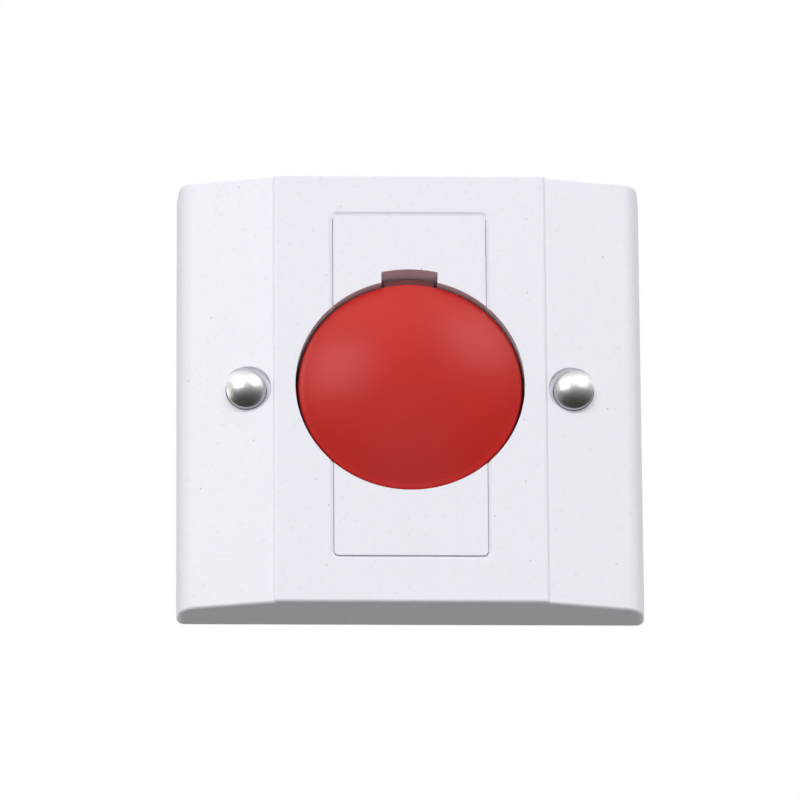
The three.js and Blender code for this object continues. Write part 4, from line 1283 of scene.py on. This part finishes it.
class CALL_OT_studio(bpy.types.Operator):
    """Studio: pale floor, white surroundings, soft lamps and the camera"""

    bl_idname = "call_unit.studio"
    bl_label = "Studio"

    def execute(self, context):
        scene = context.scene
        settings = scene.call_studio
        alone()
        bpy.ops.mesh.primitive_plane_add(size=12, location=(0, 0, -3))
        floor = context.object
        floor.name = "floor"
        pale, tree, shader = surface("pale_floor", (0.8, 0.8, 0.8), 0.6)
        floor.data.materials.append(pale)
        floor.visible_glossy = False
        floor.visible_diffuse = False
        white_when_seen(tree, shader.outputs["BSDF"], "Emission", "Material Output")
        world = bpy.data.worlds.new("surroundings")
        scene.world = world
        world.use_nodes = True
        tree = world.node_tree
        light = tree.nodes["Background"]
        tree.links.new(sky_levels(tree, "Generated", SKY_LEVELS), light.inputs["Color"])
        white_when_seen(tree, light.outputs[0], "Background", "World Output")
        room_card()
        for name, direction, size, power, color, seen in LAMPS:
            lamp(name, direction, size, power * settings.level, color, seen)
        place_camera(settings)
        scene.view_settings.view_transform = "Standard"
        return {"FINISHED"}


def seen_directly(tree):
    """1 for rays from the camera, from mirrors and through glass."""
    path = tree.nodes.new("ShaderNodeLightPath")
    value = path.outputs["Is Camera Ray"]
    for name in ("Is Glossy Ray", "Is Transmission Ray"):
        more = tree.nodes.new("ShaderNodeMath")
        more.operation = "MAXIMUM"
        tree.links.new(value, more.inputs[0])
        tree.links.new(path.outputs[name], more.inputs[1])
        value = more.outputs[0]
    return value


def white_when_seen(tree, other, glow, end):
    """White to the camera, in metal and through glass; the other shader as a light."""
    mix = tree.nodes.new("ShaderNodeMixShader")
    white = added(tree, glow, 0, Color=(1, 1, 1, 1))
    for socket, value in zip(mix.inputs, (seen_directly(tree), other, white)):
        tree.links.new(value, socket)
    tree.links.new(mix.outputs[0], tree.nodes[end].inputs["Surface"])


def sky_levels(tree, coordinates, levels):
    """Brightness by height: dim below, bright above."""
    ramp = tree.nodes.new("ShaderNodeValToRGB")
    steps = ramp.color_ramp.elements
    steps[0].position, steps[1].position = 0.0, 1.0
    steps[0].color, steps[1].color = (*(SKY_FLOOR,) * 3, 1), (1, 1, 1, 1)
    for height, level in levels:
        steps.new((height + 1) / 2).color = (level, level, level, 1)
    height = added(tree, "SeparateXYZ", "Z", Vector=added(tree, "TexCoord", coordinates))
    tree.links.new(ranged(tree, height, -1, 1, 0, 1), ramp.inputs[0])
    return ramp.outputs[0]


def room_card():
    """A dim cove before the plate that only reflections see, so that metal has something to mirror."""
    alone()
    bpy.ops.mesh.primitive_uv_sphere_add(segments=48, ring_count=24, radius=1)
    cove = bpy.context.object
    cove.name = "room_card"
    enter("EDIT")
    for place, normal in (((0, 0, COVE_TOP), (0, 0, 1)), ((0, COVE_BACK, 0), (0, 1, 0))):
        bpy.ops.mesh.select_all(action="SELECT")
        bpy.ops.mesh.bisect(plane_co=place, plane_no=normal, clear_outer=True)
    enter("OBJECT")
    cove.scale = (COVE_RADIUS,) * 3
    material = bpy.data.materials.new("room_levels")
    material.use_nodes = True
    tree = material.node_tree
    levels = sky_levels(tree, "Object", CARD_LEVELS)
    glow = added(tree, "Emission", 0, Color=levels, Strength=CARD_STRENGTH)
    tree.links.new(glow, tree.nodes["Material Output"].inputs["Surface"])
    cove.data.materials.append(material)
    for kind in ("camera", "diffuse", "shadow", "transmission", "volume_scatter"):
        setattr(cove, f"visible_{kind}", False)


def lamp(name, direction, size, power, color, seen):
    """A soft square lamp at an azimuth and elevation before the plate, aimed at it."""
    azimuth, elevation = (math.radians(angle) for angle in direction)
    towards = Vector((
        math.sin(azimuth) * math.cos(elevation),
        -math.cos(azimuth) * math.cos(elevation),
        math.sin(elevation),
    ))
    alone()
    bpy.ops.object.light_add(type="AREA", location=towards * LAMP_DISTANCE)
    light = bpy.context.object
    light.name = name
    light.rotation_euler = towards.to_track_quat("Z", "Y").to_euler()
    light.data.shape = "SQUARE"
    light.data.size = size
    light.data.energy = power
    light.data.color = color
    light.visible_camera = False
    light.visible_glossy = seen


def across(forward):
    """Right and up of a level camera that looks along a direction."""
    right = forward.cross(Vector((0, 0, 1))).normalized()
    return right, right.cross(forward).normalized()


def place_camera(settings):
    """The camera below and a little left of the plate, aimed past its middle."""
    yaw, pitch, roll = settings.yaw, settings.pitch, settings.roll
    away = Vector((-math.sin(yaw) * math.cos(pitch), -math.cos(yaw) * math.cos(pitch), -math.sin(pitch)))
    place = away * settings.distance
    right, up = across(-away)
    aim = right * -CAMERA_ASIDE[0] * MM + up * CAMERA_ASIDE[1] * MM
    forward = (aim - place).normalized()
    right, up = across(forward)
    side = right * math.cos(roll) + up * math.sin(roll)
    top = up * math.cos(roll) - right * math.sin(roll)
    alone()
    bpy.ops.object.camera_add()
    camera = bpy.context.object
    camera.name = "camera"
    turn = Matrix((side, top, -forward)).transposed().to_4x4()
    camera.matrix_world = Matrix.Translation(place) @ turn
    camera.data.lens = settings.lens
    camera.data.sensor_width = 36
    camera.data.clip_end = 100
    bpy.context.scene.camera = camera


class CALL_PT_sidebar(bpy.types.Panel):
    """Lists the steps that model the call unit"""

    bl_idname = "CALL_PT_sidebar"
    bl_label = "Call unit"
    bl_space_type = "VIEW_3D"
    bl_region_type = "UI"
    bl_category = "Call unit"

    def draw(self, context):
        for step in STEPS:
            self.layout.operator(step.bl_idname)
        for name in SETTINGS:
            box = self.layout.box()
            group = getattr(context.scene, name)
            for field in group.bl_rna.properties.keys()[2:]:
                box.prop(group, field)


SETTINGS = {
    "call_plate": CallPlateSettings,
    "call_button": CallButtonSettings,
    "call_finish": CallFinishSettings,
    "call_studio": CallStudioSettings,
}
STEPS = (
    CALL_OT_face_plate,
    CALL_OT_button_housing,
    CALL_OT_push_button,
    CALL_OT_reset_tongue,
    CALL_OT_screw_caps,
    CALL_OT_fixing_screws,
    CALL_OT_small_screws,
    CALL_OT_rear_cover,
    CALL_OT_terminals,
    CALL_OT_springs,
    CALL_OT_switch,
    CALL_OT_circuit,
    CALL_OT_studio,
)


def register():
    for name, group in SETTINGS.items():
        bpy.utils.register_class(group)
        setattr(bpy.types.Scene, name, bpy.props.PointerProperty(type=group))
    for shown in (*STEPS, CALL_PT_sidebar):
        bpy.utils.register_class(shown)


def unregister():
    for shown in (CALL_PT_sidebar, *reversed(STEPS)):
        bpy.utils.unregister_class(shown)
    for name, group in reversed(list(SETTINGS.items())):
        delattr(bpy.types.Scene, name)
        bpy.utils.unregister_class(group)


def main():
    register()
    for step in STEPS:
        group, name = step.bl_idname.split(".")
        getattr(getattr(bpy.ops, group), name)()


if __name__ == "__main__":
    main()
